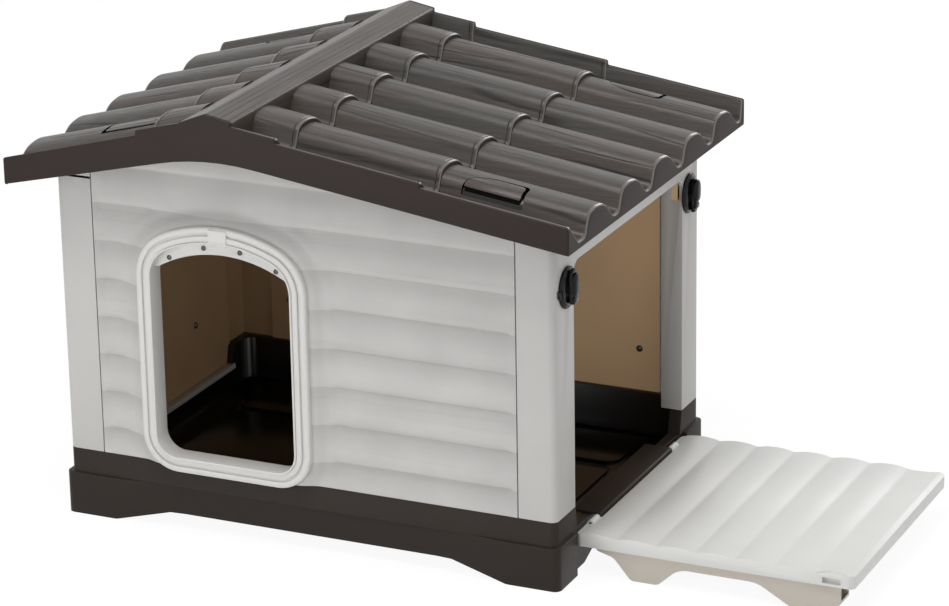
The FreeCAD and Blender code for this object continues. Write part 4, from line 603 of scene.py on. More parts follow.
def section_mesh(side):
    """One barrel and the two rims as lines, with the radius of each corner as an attribute."""
    barrel = [(0, 0, 0)] + list(BARREL) + [(TILE_PITCH, 0, 0)]
    rims = [[(-278, RIM_RISE, 0), (-272, RIM_RISE, 3), (-247, 0, 7), (FIRST_TILE, 0, 0)],
            [(FIRST_TILE + TILE_PITCH * TILE_COUNT, 0, 0), (268, 0, 3), (273, RIM_RISE, 2), (278, RIM_RISE, 0)]]
    barrel = [(FIRST_TILE + y, z, r) for y, z, r in barrel]
    if side < 0:
        last = FIRST_TILE + TILE_PITCH * TILE_COUNT
        barrel = [(y - TILE_PITCH * (TILE_COUNT - 1), z, r) for y, z, r in barrel]
        barrel = [(-y, z, r) for y, z, r in barrel][::-1]
        barrel = [(y - (barrel[0][0] + last), z, r) for y, z, r in barrel]
        rims = [[(-y, z, r) for y, z, r in rim][::-1] for rim in rims]
    places, lines, corners, repeats = [], [], [], []
    for line, repeat in ((barrel, 1.0), (rims[0], 0.0), (rims[1], 0.0)):
        first = len(places)
        places += [(0, y * MM, z * MM) for y, z, r in line]
        lines += [(first + i, first + i + 1) for i in range(len(line) - 1)]
        corners += [r * MM for y, z, r in line]
        repeats += [repeat] * len(line)
    mesh = bpy.data.meshes.new("tile_section")
    mesh.from_pydata(places, lines, [])
    mesh.attributes.new("corner", "FLOAT", "POINT").data.foreach_set("value", corners)
    mesh.attributes.new("repeat", "FLOAT", "POINT").data.foreach_set("value", repeats)
    return mesh


def course_tree():
    """Repeats the barrel between the rims, sweeps the section down the slope and rolls its low edge."""
    tree, g = new_group("Tile Course", [
        ("Section", "NodeSocketGeometry", None), ("Barrels", "NodeSocketInt", TILE_COUNT),
        ("Pitch", "NodeSocketFloat", TILE_PITCH * MM), ("High End", "NodeSocketVector", None),
        ("Run", "NodeSocketVector", None), ("Lip", "NodeSocketFloat", 0.0026),
        ("Drop", "NodeSocketFloat", 0.008), ("Foot", "NodeSocketFloat", 0.0),
        ("Groove", "NodeSocketFloat", 0.0009), ("Groove Away", "NodeSocketFloat", 0.0042)],
        [("Geometry", "NodeSocketGeometry")], kind="GeometryNodeTree")
    corner = g.node("GeometryNodeInputNamedAttribute", {"Name": "corner"}, data_type="FLOAT").outputs[0]
    repeat = g.node("GeometryNodeInputNamedAttribute", {"Name": "repeat"}, data_type="FLOAT").outputs[0]
    curve = g.node("GeometryNodeMeshToCurve", {"Mesh": g.ins["Section"]}).outputs[0]
    count = g.maths("ADD", g.maths("MULTIPLY", corner, 330.0), 2.0)
    bent = g.node("GeometryNodeFilletCurve", {"Curve": curve, "Count": count, "Radius": corner,
                                              "Limit Radius": True}, mode="POLY").outputs[0]
    tangent = g.node("ShaderNodeSeparateXYZ", {0: g.node("GeometryNodeInputTangent").outputs[0]}).outputs
    turn = g.maths("SIGN", tangent["Y"])
    away = g.node("ShaderNodeCombineXYZ", {1: g.maths("MULTIPLY", g.maths("MULTIPLY", tangent["Z"], turn), -1.0),
                                           2: g.maths("ABSOLUTE", tangent["Y"])}).outputs[0]
    known = g.node("GeometryNodeStoreNamedAttribute", {"Geometry": bent, "Name": "facing", "Value": away},
                   data_type="FLOAT_VECTOR", domain="POINT").outputs[0]
    parts = g.node("GeometryNodeSeparateGeometry", {"Geometry": known, "Selection": repeat}, domain="POINT")
    line = g.node("GeometryNodeMeshLine", {"Count": g.ins["Barrels"],
                                           "Offset": g.node("ShaderNodeCombineXYZ", {1: g.ins["Pitch"]}).outputs[0]})
    rows = g.node("GeometryNodeInstanceOnPoints", {"Points": line.outputs[0], "Instance": parts.outputs[0]})
    real = g.node("GeometryNodeRealizeInstances", {"Geometry": rows.outputs[0]}).outputs[0]
    both = g.node("GeometryNodeJoinGeometry")
    g.give(both.inputs[0], real)
    g.give(both.inputs[0], parts.outputs[1])
    wires = g.node("GeometryNodeCurveToMesh", {"Curve": both.outputs[0]}).outputs[0]
    merged = g.node("GeometryNodeMergeByDistance", {"Geometry": wires, "Distance": 0.00002}).outputs[0]
    sheet = g.node("GeometryNodeSetPosition", {"Geometry": merged, "Offset": g.ins["High End"]}).outputs[0]
    facing = g.node("GeometryNodeInputNamedAttribute", {"Name": "facing"}, data_type="FLOAT_VECTOR").outputs[0]
    unit = g.vector("NORMALIZE", g.ins["Run"])
    short = g.maths("ADD", g.ins["Lip"], g.ins["Groove Away"])
    back = g.vector("SCALE", unit, scale=g.maths("MULTIPLY", short, -1.0))
    half = 0.001
    step_along = g.vector("SCALE", unit, scale=half)
    dip = g.vector("SCALE", facing, scale=g.maths("MULTIPLY", g.ins["Groove"], -1.0))
    lift = g.vector("SCALE", facing, scale=g.ins["Groove"])
    rest = g.vector("SCALE", unit, scale=g.maths("SUBTRACT", g.ins["Groove Away"], 2 * half))
    moves = [g.vector("ADD", g.ins["Run"], back), g.vector("ADD", step_along, dip),
             g.vector("ADD", step_along, lift), rest]
    steps = 4
    for step in range(steps):
        low, high = math.pi / 2 * step / steps, math.pi / 2 * (step + 1) / steps
        along = g.vector("SCALE", unit, scale=g.maths("MULTIPLY", g.ins["Lip"], math.sin(high) - math.sin(low)))
        inwards = g.vector("SCALE", facing, scale=g.maths("MULTIPLY", g.ins["Lip"], math.cos(high) - math.cos(low)))
        moves.append(g.vector("ADD", along, inwards))
    height = g.node("ShaderNodeSeparateXYZ", {0: g.node("GeometryNodeInputPosition").outputs[0]}).outputs["Z"]
    to_foot = g.maths("SUBTRACT", g.ins["Foot"], height)
    has_foot = g.maths("GREATER_THAN", g.ins["Foot"], 0.0)
    drop = g.blend(has_foot, g.maths("MULTIPLY", g.ins["Drop"], -1.0), to_foot, kind="FLOAT")
    moves.append(g.node("ShaderNodeCombineXYZ", {2: drop}).outputs[0])
    top = True
    for move in moves:
        longer = g.node("GeometryNodeExtrudeMesh", {"Mesh": sheet, "Selection": top, "Offset Scale": 0.0},
                        mode="EDGES")
        sheet = g.node("GeometryNodeSetPosition", {"Geometry": longer.outputs["Mesh"],
                                                   "Selection": longer.outputs["Top"], "Offset": move}).outputs[0]
        top = longer.outputs["Top"]
    close_tree(g, sheet, "roof")
    return tree


def close_tree(g, geometry, finish):
    """End a geometry tree as the export needs it."""
    real = g.node("GeometryNodeRealizeInstances", {"Geometry": geometry}).outputs[0]
    done = g.node("GeometryNodeSetMaterial", {"Geometry": real, "Material": material(finish)}).outputs[0]
    g.give(g.outs["Geometry"], done)


def course_sheet(tree, side, number, sink=0.0, wall=3.0):
    """One course of tiles as a closed sheet, sunk below the tiles' face by sink."""
    low, high = COURSES[side][number]
    level = deck(low, number, side) - sink
    cap = RIDGE + side * CAP_HALF
    top = high if abs(high - cap) < 1 else high - side * COURSE_LAP
    rise = SLOPES[side] * abs(top - low)
    values = {"High End": at(top, 0, level + rise), "Run": Vector((low - top, 0, -rise)) * MM}
    if number == 0:
        values.update({"Foot": EAVE_UNDER * MM, "Lip": 0.0034, "Groove": 0.0})
    made = bmesh.new()
    made.from_mesh(grown("tile_course", tree, values, section_mesh(side)))
    bmesh.ops.remove_doubles(made, verts=made.verts, dist=1e-6)
    made.normal_update()
    turned = [face for face in made.faces
              if (face.normal.z if abs(face.normal.z) > 0.02 else side * face.normal.x) < 0]
    bmesh.ops.reverse_faces(made, faces=turned)
    mesh = bpy.data.meshes.new("tile_course")
    made.to_mesh(mesh)
    made.free()
    return worked(mesh, ("SOLIDIFY", {"thickness": wall * MM, "offset": -1.0, "use_even_offset": False}))


def hatch_prism(side, end, grow, straight=None):
    """The D of a hatch as an upright prism: straight along the eave and the rim, round towards the ridge."""
    straight = grow if straight is None else straight
    low = side * (ROOF_HALF - HATCH_AWAY[side] + straight)
    high = side * (ROOF_HALF - HATCH_AWAY[side] - 77 - grow)
    outer, inner = end * (HATCH_OUTER + straight), end * (HATCH_INNER - grow)
    crown = high + 0.6 * (low - high)
    turns = [math.radians(degrees) for degrees in range(10, 91, 10)]
    arc = [(crown + (high - crown) * math.cos(a), outer + (inner - outer) * math.sin(a), 0) for a in turns[::-1]]
    outline = rounded([(high, outer, 1), (low, outer, 2), (low, inner, 7)] + arc)
    return prism("hatch_prism", outline, lambda x, y, z: at(x, y, z), 400, 560)


def on_bead(middle, normal):
    """Whether a face is on the rolled lower edge of a course."""
    side = 1 if middle.x > RIDGE else -1
    near = min(abs(middle.x - low) for low, high in COURSES[side])
    return near < 3.6 and normal.z > 0.05 and 0.3 < normal.x * side < 0.95


def on_pocket_wall(middle, normal):
    """Whether a face is the cut wall of a hatch pocket."""
    side = 1 if middle.x > RIDGE else -1
    from_edge = ROOF_HALF - side * middle.x - HATCH_AWAY[side]
    return abs(normal.z) < 0.12 and -2 < from_edge < 79 and HATCH_INNER - 3 < abs(middle.y) < HATCH_OUTER + 3


def fascia_outline():
    """Front view of a fascia: its arched lower edge, and the rim that steps with the courses."""
    apex = (APEX, 499.4, 340)
    line = [(-ROOF_HALF, EAVE_UNDER, 2.5), apex, (ROOF_HALF, EAVE_UNDER, 2.5)]
    for low, high, number in [(low, high, i) for i, (low, high) in enumerate(COURSES[1])]:
        line += [(low, deck(low, number, 1) + 25, 2.8), (high, deck(high, number, 1) + 25, 2)]
    line += [(RIDGE + CAP_HALF, CAP_EDGES[1], 2), (RIDGE, RIDGE_TOP, 9), (RIDGE - CAP_HALF, CAP_EDGES[-1], 2)]
    for low, high, number in reversed([(low, high, i) for i, (low, high) in enumerate(COURSES[-1])]):
        line += [(high, deck(high, number, -1) + 25, 2), (low, deck(low, number, -1) + 25, 2.8)]
    return rounded([corner for i, corner in enumerate(line)
                    if i == 0 or math.dist(corner[:2], line[i - 1][:2]) > 0.5], turn=4.0)


class DOGHOUSE_OT_roof(bpy.types.Operator):
    """Make the roof: courses of barrel tiles, rims, fascia, hatch pockets and the ridge cap"""

    bl_idname = "doghouse.roof"
    bl_label = "Roof"

    def execute(self, context):
        tree = course_tree()
        courses, pockets = [], []
        for side in (1, -1):
            for number in range(len(COURSES[side])):
                sheet = course_sheet(tree, side, number)
                if number == 0:
                    sheet = cut_by(sheet, *[hatch_prism(side, end, 0) for end in (-1, 1)])
                    pockets += self.pockets(tree, side)
                courses.append(sheet)
        # the rolled low edges of the courses get a painted highlight, the hatch pockets' cut walls painted shade
        show("roof_tiles", joined("roof_tiles", courses), "roof", "roof",
             also=[(on_bead, "bead"), (on_pocket_wall, "tub"),
                   (lambda middle, normal: abs(normal.x) > 0.75, "fascia")])
        # the hatch pockets are in painted shade
        show("hatch_pockets", joined("hatch_pockets", pockets), "tub", "roof")
        show("roof_fascia", self.fascia(), "fascia", "roof")
        show("ridge_strip", self.cap(), "cap", "ridge_cap")
        for side, side_name in ((1, "right"), (-1, "left")):
            for end, end_name in ((-1, "front"), (1, "rear")):
                # the lids' upright edges get painted shade
                lid = cut_by(course_sheet(tree, side, 0, wall=3.6), hatch_prism(side, end, -2.4, straight=-4.5), keep=True)
                show("lid_%s_%s" % (side_name, end_name), worked(lid, rounding(0.6, angle=50, segments=2)), "roof",
                     "hatch_cover_%s_%s" % (side_name, end_name),
                     also=[(lambda middle, normal: abs(normal.z) < 0.12, "tub")])
        return {"FINISHED"}

    def pockets(self, tree, side):
        """A wall round each hatch pocket and a floor with the well of its screw."""
        parts = []
        for end in (-1, 1):
            rim = course_sheet(tree, side, 0, sink=0.6, wall=5.0)
            rim = cut_by(rim, hatch_prism(side, end, 2.5), keep=True)
            parts.append(cut_by(rim, hatch_prism(side, end, 0)))
            floor = course_sheet(tree, side, 0, sink=6.0, wall=2.5)
            floor = cut_by(floor, hatch_prism(side, end, 2.4), keep=True)
            x, y = side * (ROOF_HALF - HATCH_AWAY[side] - 11), end * 203
            well = [(x + 4.6 * math.cos(a), y + 4.6 * math.sin(a)) for a in circle(24)]
            parts.append(cut_by(floor, prism("well", well, lambda a, b, z: at(a, b, z), 400, 560)))
        return parts

    def fascia(self):
        outline = fascia_outline()
        plates = [moulded("fascia", outline, lambda x, z, y: at(x, y, z), start, start + RIM_PLATE, 1.7)
                  for start in (-ROOF_SIDE, ROOF_SIDE - RIM_PLATE)]
        return joined("roof_fascia", plates)

    def cap(self):
        """The bent strip over the ridge, a rounded bead along each long edge."""
        feet = {1: deck(RIDGE + CAP_HALF, 2, 1), -1: deck(RIDGE - CAP_HALF, 1, -1)}
        top = [(RIDGE - CAP_HALF, feet[-1], 0), (RIDGE - CAP_HALF, CAP_EDGES[-1], 3.2), (RIDGE, RIDGE_TOP, 9),
               (RIDGE + CAP_HALF, CAP_EDGES[1], 3.2), (RIDGE + CAP_HALF, feet[1], 0)]
        under = [(RIDGE + CAP_HALF - 3, feet[1], 0), (RIDGE + CAP_HALF - 3, CAP_EDGES[1] - 4, 2),
                 (RIDGE, RIDGE_TOP - 4, 6), (RIDGE - CAP_HALF + 3, CAP_EDGES[-1] - 4, 2),
                 (RIDGE - CAP_HALF + 3, feet[-1], 0)]
        reach = ROOF_SIDE - RIM_PLATE - 0.2
        return prism("ridge_strip", rounded(top + under), lambda x, z, y: at(x, y, z), -reach, reach)


def circle(count):
    return [2 * math.pi * i / count for i in range(count)]


# ---------------------------------------------------------------- siding

HOUSE_FRONT, POST_WIDTH = 228.0, 48.0
WALL_EDGE = HOUSE_HALF - POST_WIDTH - 1.5
RAIL_END = 657.0
BASE_TOP = 85.0
BOARD_PITCH, BOARD_DEPTH, FIRST_GROOVE = 48.4, 5.2, 118.0
BOARD_SOFT = 1.3
# how dark the painted shade under each groove gets
GROOVE_SHADE = 0.84
WALL_BACK = 8.0
BOSS_HEIGHT, BOSS_SLOPE = 8.0, 20.0
DOOR_MIDDLE, RING_HALF, RING_BOTTOM, RING_SPRING = -100.0, 114.0, 80.0, 327.5
RING_LOW, RING_HIGH, RING_TOP = 46.0, 62.0, 189.5
RING_WIDTH, JAMB = 18.0, 2.5
STRIP_FORWARD = 8.0
RING_FACE = HOUSE_FRONT + BOSS_HEIGHT + 7.0


def doorway(grow):
    """The doorway's outline moved outwards by grow: always as many points."""
    corner_x = RING_HALF - RING_HIGH
    drop = math.sqrt((RING_TOP - RING_HIGH) ** 2 - corner_x ** 2)
    swing = math.atan2(corner_x, drop)
    low_x, low_z = RING_HALF - RING_LOW, RING_BOTTOM + RING_LOW
    arcs = [(low_x, low_z, RING_LOW, math.pi, math.pi / 2, 10),
            (corner_x, RING_SPRING, RING_HIGH, math.pi / 2, swing, 10),
            (0, RING_SPRING - drop, RING_TOP, swing, -swing, 16),
            (-corner_x, RING_SPRING, RING_HIGH, -swing, -math.pi / 2, 10),
            (-low_x, low_z, RING_LOW, -math.pi / 2, -math.pi, 10)]
    line = []
    for x, z, radius, start, end, steps in arcs:
        for step in range(steps + 1):
            turn = start + (end - start) * step / steps
            place = (DOOR_MIDDLE + x + (radius + grow) * math.sin(turn), z + (radius + grow) * math.cos(turn))
            if not line or math.dist(line[-1], place) > 0.01:
                line.append(place)
    return line


def ring_loft(name, profile):
    """A ring round the doorway through a closed profile of (grow, y) points."""
    rows = [[at(x, y, z) for x, z in doorway(grow)] for grow, y in profile]
    return skin(name, rows, wrap_rows=True)


def siding_tree():
    """A slab whose front is waved boards, which fade into flat margins and a boss round the doorway."""
    tree, g = new_group("Siding Boards", [
        ("Size", "NodeSocketVector", (0.5, 0.008, 0.4)), ("Corner", "NodeSocketVector", None),
        ("Pitch", "NodeSocketFloat", BOARD_PITCH * MM), ("Depth", "NodeSocketFloat", BOARD_DEPTH * MM),
        ("First Groove", "NodeSocketFloat", FIRST_GROOVE * MM), ("Softness", "NodeSocketFloat", BOARD_SOFT * MM),
        ("Lean", "NodeSocketFloat", 0.42), ("Margin", "NodeSocketFloat", 0.014), ("Boss", "NodeSocketFloat", 0.0),
        ("Boss Slope", "NodeSocketFloat", BOSS_SLOPE * MM), ("Doorway", "NodeSocketObject", None),
        ("Reach", "NodeSocketFloat", (RING_WIDTH + JAMB) * MM)],
        [("Geometry", "NodeSocketGeometry")], kind="GeometryNodeTree")
    size = g.node("ShaderNodeSeparateXYZ", {0: g.ins["Size"]}).outputs
    across = g.maths("ADD", g.maths("DIVIDE", size["X"], 0.0042), 2.0)
    upright = g.maths("ADD", g.maths("DIVIDE", size["Z"], 0.003), 2.0)
    slab = g.node("GeometryNodeMeshCube", {"Size": g.ins["Size"], "Vertices X": across, "Vertices Y": 2,
                                           "Vertices Z": upright}).outputs[0]
    half = g.vector("SCALE", g.ins["Size"], scale=0.5)
    slab = g.node("GeometryNodeSetPosition", {"Geometry": slab,
                                              "Offset": g.vector("ADD", half, g.ins["Corner"])}).outputs[0]
    here = g.node("GeometryNodeInputPosition").outputs[0]
    place = g.node("ShaderNodeSeparateXYZ", {0: here}).outputs
    corner = g.node("ShaderNodeSeparateXYZ", {0: g.ins["Corner"]}).outputs
    front = g.maths("LESS_THAN", place["Y"], g.maths("ADD", corner["Y"], 0.0005))
    from_left = g.maths("SUBTRACT", place["X"], corner["X"])
    from_edge = g.maths("MINIMUM", from_left, g.maths("SUBTRACT", size["X"], from_left))
    margin = g.ramp(from_edge, 0.002, g.ins["Margin"], smooth=True)
    outline = g.node("GeometryNodeObjectInfo", {"Object": g.ins["Doorway"]}).outputs["Geometry"]
    away = g.node("GeometryNodeProximity", {"Geometry": outline, "Sample Position": here},
                  target_element="EDGES").outputs["Distance"]
    off_ring = g.maths("SUBTRACT", away, g.ins["Reach"])
    has_boss = g.maths("GREATER_THAN", g.ins["Boss"], 0.0)
    flank = g.ramp(off_ring, 0.0, g.ins["Boss Slope"], 1.0, 0.0, smooth=True)
    boss = g.maths("MULTIPLY", flank, has_boss)
    calm = g.ramp(off_ring, g.ins["Boss Slope"], g.maths("ADD", g.ins["Boss Slope"], g.ins["Margin"]), 1.0, 0.0,
                  smooth=True)
    fade = g.maths("MULTIPLY", margin, g.maths("SUBTRACT", 1.0, g.maths("MULTIPLY", calm, has_boss)))
    turns = g.maths("DIVIDE", g.maths("SUBTRACT", place["Z"], g.ins["First Groove"]), g.ins["Pitch"])
    share = g.maths("POWER", g.maths("FRACT", g.maths("ADD", turns, 16.0)), g.ins["Lean"])
    swing = g.maths("ABSOLUTE", g.maths("SUBTRACT", g.maths("MULTIPLY", share, 2.0), 1.0))
    bow = g.maths("MULTIPLY", g.maths("SUBTRACT", 1.0, g.maths("MULTIPLY", swing, swing)), g.ins["Depth"])
    soft2 = g.maths("MULTIPLY", g.ins["Softness"], g.ins["Softness"])
    crest = g.maths("SUBTRACT", g.maths("SQRT", g.maths("ADD", g.maths("MULTIPLY", bow, bow), soft2)),
                    g.ins["Softness"])
    full = g.maths("SUBTRACT", g.maths("SQRT", g.maths("ADD", g.maths("MULTIPLY", g.ins["Depth"], g.ins["Depth"]),
                                                       soft2)), g.ins["Softness"])
    sunk = g.maths("MULTIPLY", g.maths("SUBTRACT", full, crest), fade)
    move = g.maths("SUBTRACT", sunk, g.maths("MULTIPLY", boss, g.ins["Boss"]))
    waved = g.node("GeometryNodeSetPosition", {
        "Geometry": slab, "Selection": front,
        "Offset": g.node("ShaderNodeCombineXYZ", {1: move}).outputs[0]}).outputs[0]
    close_tree(g, waved, "wall")
    return tree


def wall_top(x):
    """Height of a gable wall's top at x: just above the fascia's lower edge."""
    return 0.5 + min(EAVE_UNDER + UNDER_SLOPES[side] * (ROOF_HALF - side * x) for side in (1, -1))


def gable_outline(edge):
    """A gable wall's outline."""
    return [(-edge, BASE_TOP), (edge, BASE_TOP)] + [(x, wall_top(x)) for x in (edge, APEX, -edge)]


class DOGHOUSE_OT_walls(bpy.types.Operator):
    """Make the siding walls, pale outside and tan inside with painted glow"""

    bl_idname = "doghouse.walls"
    bl_label = "Siding walls"

    def execute(self, context):
        tree = siding_tree()
        edge = WALL_EDGE
        outline = bpy.data.meshes.new("doorway_line")
        line = doorway(-RING_WIDTH - JAMB)
        outline.from_pydata([at(x, -HOUSE_FRONT, z) for x, z in line],
                            [(i, (i + 1) % len(line)) for i in range(len(line))], [])
        guide = bpy.data.objects.new("doorway_line", outline)
        context.scene.collection.objects.link(guide)
        values = {"Size": Vector((2 * edge, WALL_BACK, 420)) * MM, "Corner": at(-edge, -HOUSE_FRONT, BASE_TOP)}
        plain = grown("siding_slab", tree, values)
        gable = prism("gable", gable_outline(edge), lambda x, z, y: at(x, y, z), -250, 250)
        rear = cut_by(plain, gable, keep=True)
        rear.transform(Matrix.Translation((2 * HOUSE_X, 0, 0)) @ Matrix.Scale(-1, 4, (1, 0, 0))
                       @ Matrix.Scale(-1, 4, (0, 1, 0)))
        rear.transform(Matrix.Translation((2 * HOUSE_X, 0, 0)) @ Matrix.Scale(-1, 4, (1, 0, 0)))
        rear.flip_normals()
        values.update({"Boss": BOSS_HEIGHT * MM, "Doorway": guide})
        front = cut_by(grown("siding_front", tree, values), gable, keep=True)
        hole = prism("door_hole", doorway(-RING_WIDTH + JAMB), lambda x, z, y: at(x, y, z), -270, -200)
        front = cut_by(front, hole)
        foot = prism("ring_foot", [(x, z) for x, z in doorway(0)], lambda x, z, y: at(x, y, z), -235.8, -222)
        below = prism("below", [(-240, 79), (40, 79), (40, BASE_TOP), (-240, BASE_TOP)],
                      lambda x, z, y: at(x, y, z), -240, -220)
        foot = cut_by(cut_by(foot, below, keep=True), hole)
        bpy.data.objects.remove(guide)
        # faces that look into the cabin get the tan plastic with painted glow
        show("front_siding", joined("front_siding", [front, foot]), "wall", "front_wall",
             also=[(lambda middle, normal: normal.y > 0.5, "inside")])
        show("rear_siding", rear, "wall", "rear_wall", also=[(lambda middle, normal: normal.y < -0.5, "inside")])
        low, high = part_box("left_side_panel")
        span = (high.y - low.y) / MM
        values = {"Size": Vector((span, WALL_BACK, (high.z - low.z) / MM)) * MM,
                  "Corner": Vector((-span * MM / 2, 0, low.z))}
        left = grown("siding_left", tree, values)
        left.transform(Matrix.Translation((low.x, 0, 0)) @ Matrix.Rotation(math.radians(-90), 4, "Z"))
        flange = prism("flange", [(-318, -170), (-308, -170), (-308, 170), (-318, 170)],
                       lambda x, y, z: at(x, y, z), low.z / MM, low.z / MM + 7, 1)
        # the inward face of the left panel gets the tan plastic with painted glow
        show("left_siding", joined("left_siding", [left, flange]), "wall", "left_side_panel",
             also=[(lambda middle, normal: normal.x > 0.5 and middle.x < -312, "inside")])
        return {"FINISHED"}


# ---------------------------------------------------------------- doorway

class DOGHOUSE_OT_doorway(bpy.types.Operator):
    """Make the doorway's ring, its inner trim with the jamb, the curtain strip and the clip"""

    bl_idname = "doghouse.doorway"
    bl_label = "Doorway"

    def execute(self, context):
        face = -RING_FACE
        ring = [(g, y) for g, y in rounded([(0, face + 7, 0), (0, face, 4.2), (-8, face, 1.4), (-8, face + 3, 0),
                                            (-11, face + 3, 0), (-11, face, 1.2), (-RING_WIDTH, face, 0.8),
                                            (-RING_WIDTH, face + 7, 0)], turn=22)]
        show("door_frame", ring_loft("door_frame", ring), "trim", "door_ring")
        inner = -RING_WIDTH - JAMB
        back = -HOUSE_FRONT + 8
        trim = rounded([(-RING_WIDTH - 0.1, face - 2, 1), (-RING_WIDTH - 0.1, back, 0), (-10, back, 0),
                        (-10, back + JAMB, 1), (inner, back + JAMB, 1), (inner, face - 2, 1)], turn=30)
        show("door_jamb", ring_loft("door_jamb", trim), "trim", "door_trim")
        strip = copied("curtain_strip")
        middle = middle_of("curtain_strip").y
        for point in strip.vertices:
            if point.co.y < middle:
                point.co.y -= STRIP_FORWARD * MM
        show("curtain_strip_soft", worked(strip, rounding(0.8, segments=2)), "trim", "curtain_strip")
        plate = [(DOOR_MIDDLE - 12, 379.5, 1), (DOOR_MIDDLE + 12, 379.5, 1),
                 (DOOR_MIDDLE + 12, 397.8, 1), (DOOR_MIDDLE - 12, 397.8, 1)]
        hook = [(DOOR_MIDDLE - 11, 377.5, 1), (DOOR_MIDDLE + 11, 377.5, 1), (DOOR_MIDDLE + 11, 384, 0),
                (DOOR_MIDDLE - 11, 384, 0)]
        clip = [moulded("clip", rounded(plate), lambda x, z, y: at(x, y, z), face - 1.4, face + 3, 0.7),
                moulded("clip", rounded(hook), lambda x, z, y: at(x, y, z), face - 0.6, face + 18, 0.6)]
        show("clip_plate", joined("clip_plate", clip), "trim", "door_clip")
        return {"FINISHED"}


# ---------------------------------------------------------------- base, frames and porch

def in_cabin(middle, normal):
    """Whether a face looks into the cabin."""
    seam = abs(middle.x) < 281 and abs(middle.y) > 215
    return (abs(middle.x) < 324.5 and abs(middle.y) < 225.5 and not seam and
            (normal.x * middle.x < -0.5 * abs(middle.x) or normal.y * middle.y < -0.5 * abs(middle.y)))


def in_slot(middle, normal):
    """Whether a face is the wall inside a slot of the right posts, which gets painted glow."""
    return 311 < middle.x < 320 and 173 < abs(middle.y) < 177 and 359 < middle.z < 386


def in_tub(middle, normal):
    """Whether a face of the base is inside its tub."""
    return abs(middle.x) < 316 and abs(middle.y) < 217 and middle.z > 24


class DOGHOUSE_OT_mouldings(bpy.types.Operator):
    """Soften the edges of the base, the frames, the porch and its rails"""

    bl_idname = "doghouse.mouldings"
    bl_label = "Base, frames and porch"

    def execute(self, context):
        for node, finish, edge in (("base_tray", "base", 0.9), ("left_side_frame", "frame", 0.9),
                                   ("right_side_frame", "frame", 0.9), ("threshold_lip", "base", 0.5),
                                   ("porch_panel", "porch", 0.8), ("porch_foot_rail_front", "rail", 1.0),
                                   ("porch_foot_rail_rear", "rail", 1.0)):
            mesh = worked(copied(node), rounding(edge, angle=38, segments=2))
            also = []
            if node == "base_tray":
                # faces inside the tub get painted shade
                also = [(in_tub, "tub")]
            if node == "left_side_frame":
                mesh = joined(node, [cut_by(mesh, *self.post_rooms())] + self.post_tops(-1))
                # faces looking into the cabin get the tan plastic with painted glow
                also = [(in_cabin, "inside")]
            if node == "right_side_frame":
                mesh = joined(node, [mesh] + self.post_tops(1) + self.slot_backs())
                also = [(in_slot, "inside")]
            if node.startswith("porch_foot_rail"):
                beyond = prism("rail_trim", [(RAIL_END, -1), (RAIL_END + 60, -1), (RAIL_END + 60, 60), (RAIL_END, 60)],
                               lambda x, z, y: at(x, y, z), -200, 200)
                mesh = cut_by(mesh, beyond)
            show(node + "_soft", mesh, finish, node, also=also)
        return {"FINISHED"}

    def post_rooms(self):
        """What the left posts leave open inside: a wide room, and a slit beside the rib that is left."""
        rooms = []
        for end in (-1, 1):
            for start, stop, near, far in ((-319, -270, 150, 206), (-284, -282, 200, 217)):
                outline = [(start, end * near), (stop, end * near), (stop, end * far), (start, end * far)]
                rooms.append(prism("post_room", outline, lambda x, y, z: at(x, y, z), 70, 386))
        return rooms

    def post_tops(self, side):
        """The wedges on the tops of the posts, up to the roof's edge."""
        wedges = []
        for end in (-1, 1):
            low, high = sorted((side * (HOUSE_HALF - POST_WIDTH), side * (HOUSE_HALF - 1)))
            outline = [(low, 437), (high, 437), (high, wall_top(high)), (low, wall_top(low))]
            level = sorted((end * HOUSE_FRONT, end * (HOUSE_FRONT - 6)))
            wedges.append(prism("post_top", outline, lambda x, z, y: at(x, y, z), *level))
        return wedges

    def slot_backs(self):
        """The wall inside each slot of the right posts, tan with painted glow, which leaves a dark slit beside it."""
        backs = []
        for end in (-1, 1):
            outline = [(312, 360), (319.2, 360), (319.2, 385), (312, 385)]
            level = sorted((end * 173.5, end * 176))
            backs.append(prism("slot_back", outline, lambda x, z, y: at(x, y, z), *level))
        return backs


# ---------------------------------------------------------------- knobs

KNOB_SIDE, KNOB_HEIGHT = 192.0, 366.0
BAR_SHIFT = 2.2


def pebble(levels, side, roundness=2.6, count=40):
    """A solid through ovals (out from the post, half width, half height, middle height)."""
    rows = []
    for out, wide, tall, rise in levels:
        row = []
        for turn in circle(count):
            across, up = math.cos(turn), math.sin(turn)
            row.append(at(HOUSE_HALF + out,
                          side * (KNOB_SIDE + wide * math.copysign(abs(across) ** (2 / roundness), across)),
                          KNOB_HEIGHT + rise + tall * math.copysign(abs(up) ** (2 / roundness), up)))
        rows.append(row)
    return skin("knob_part", rows, caps=True)


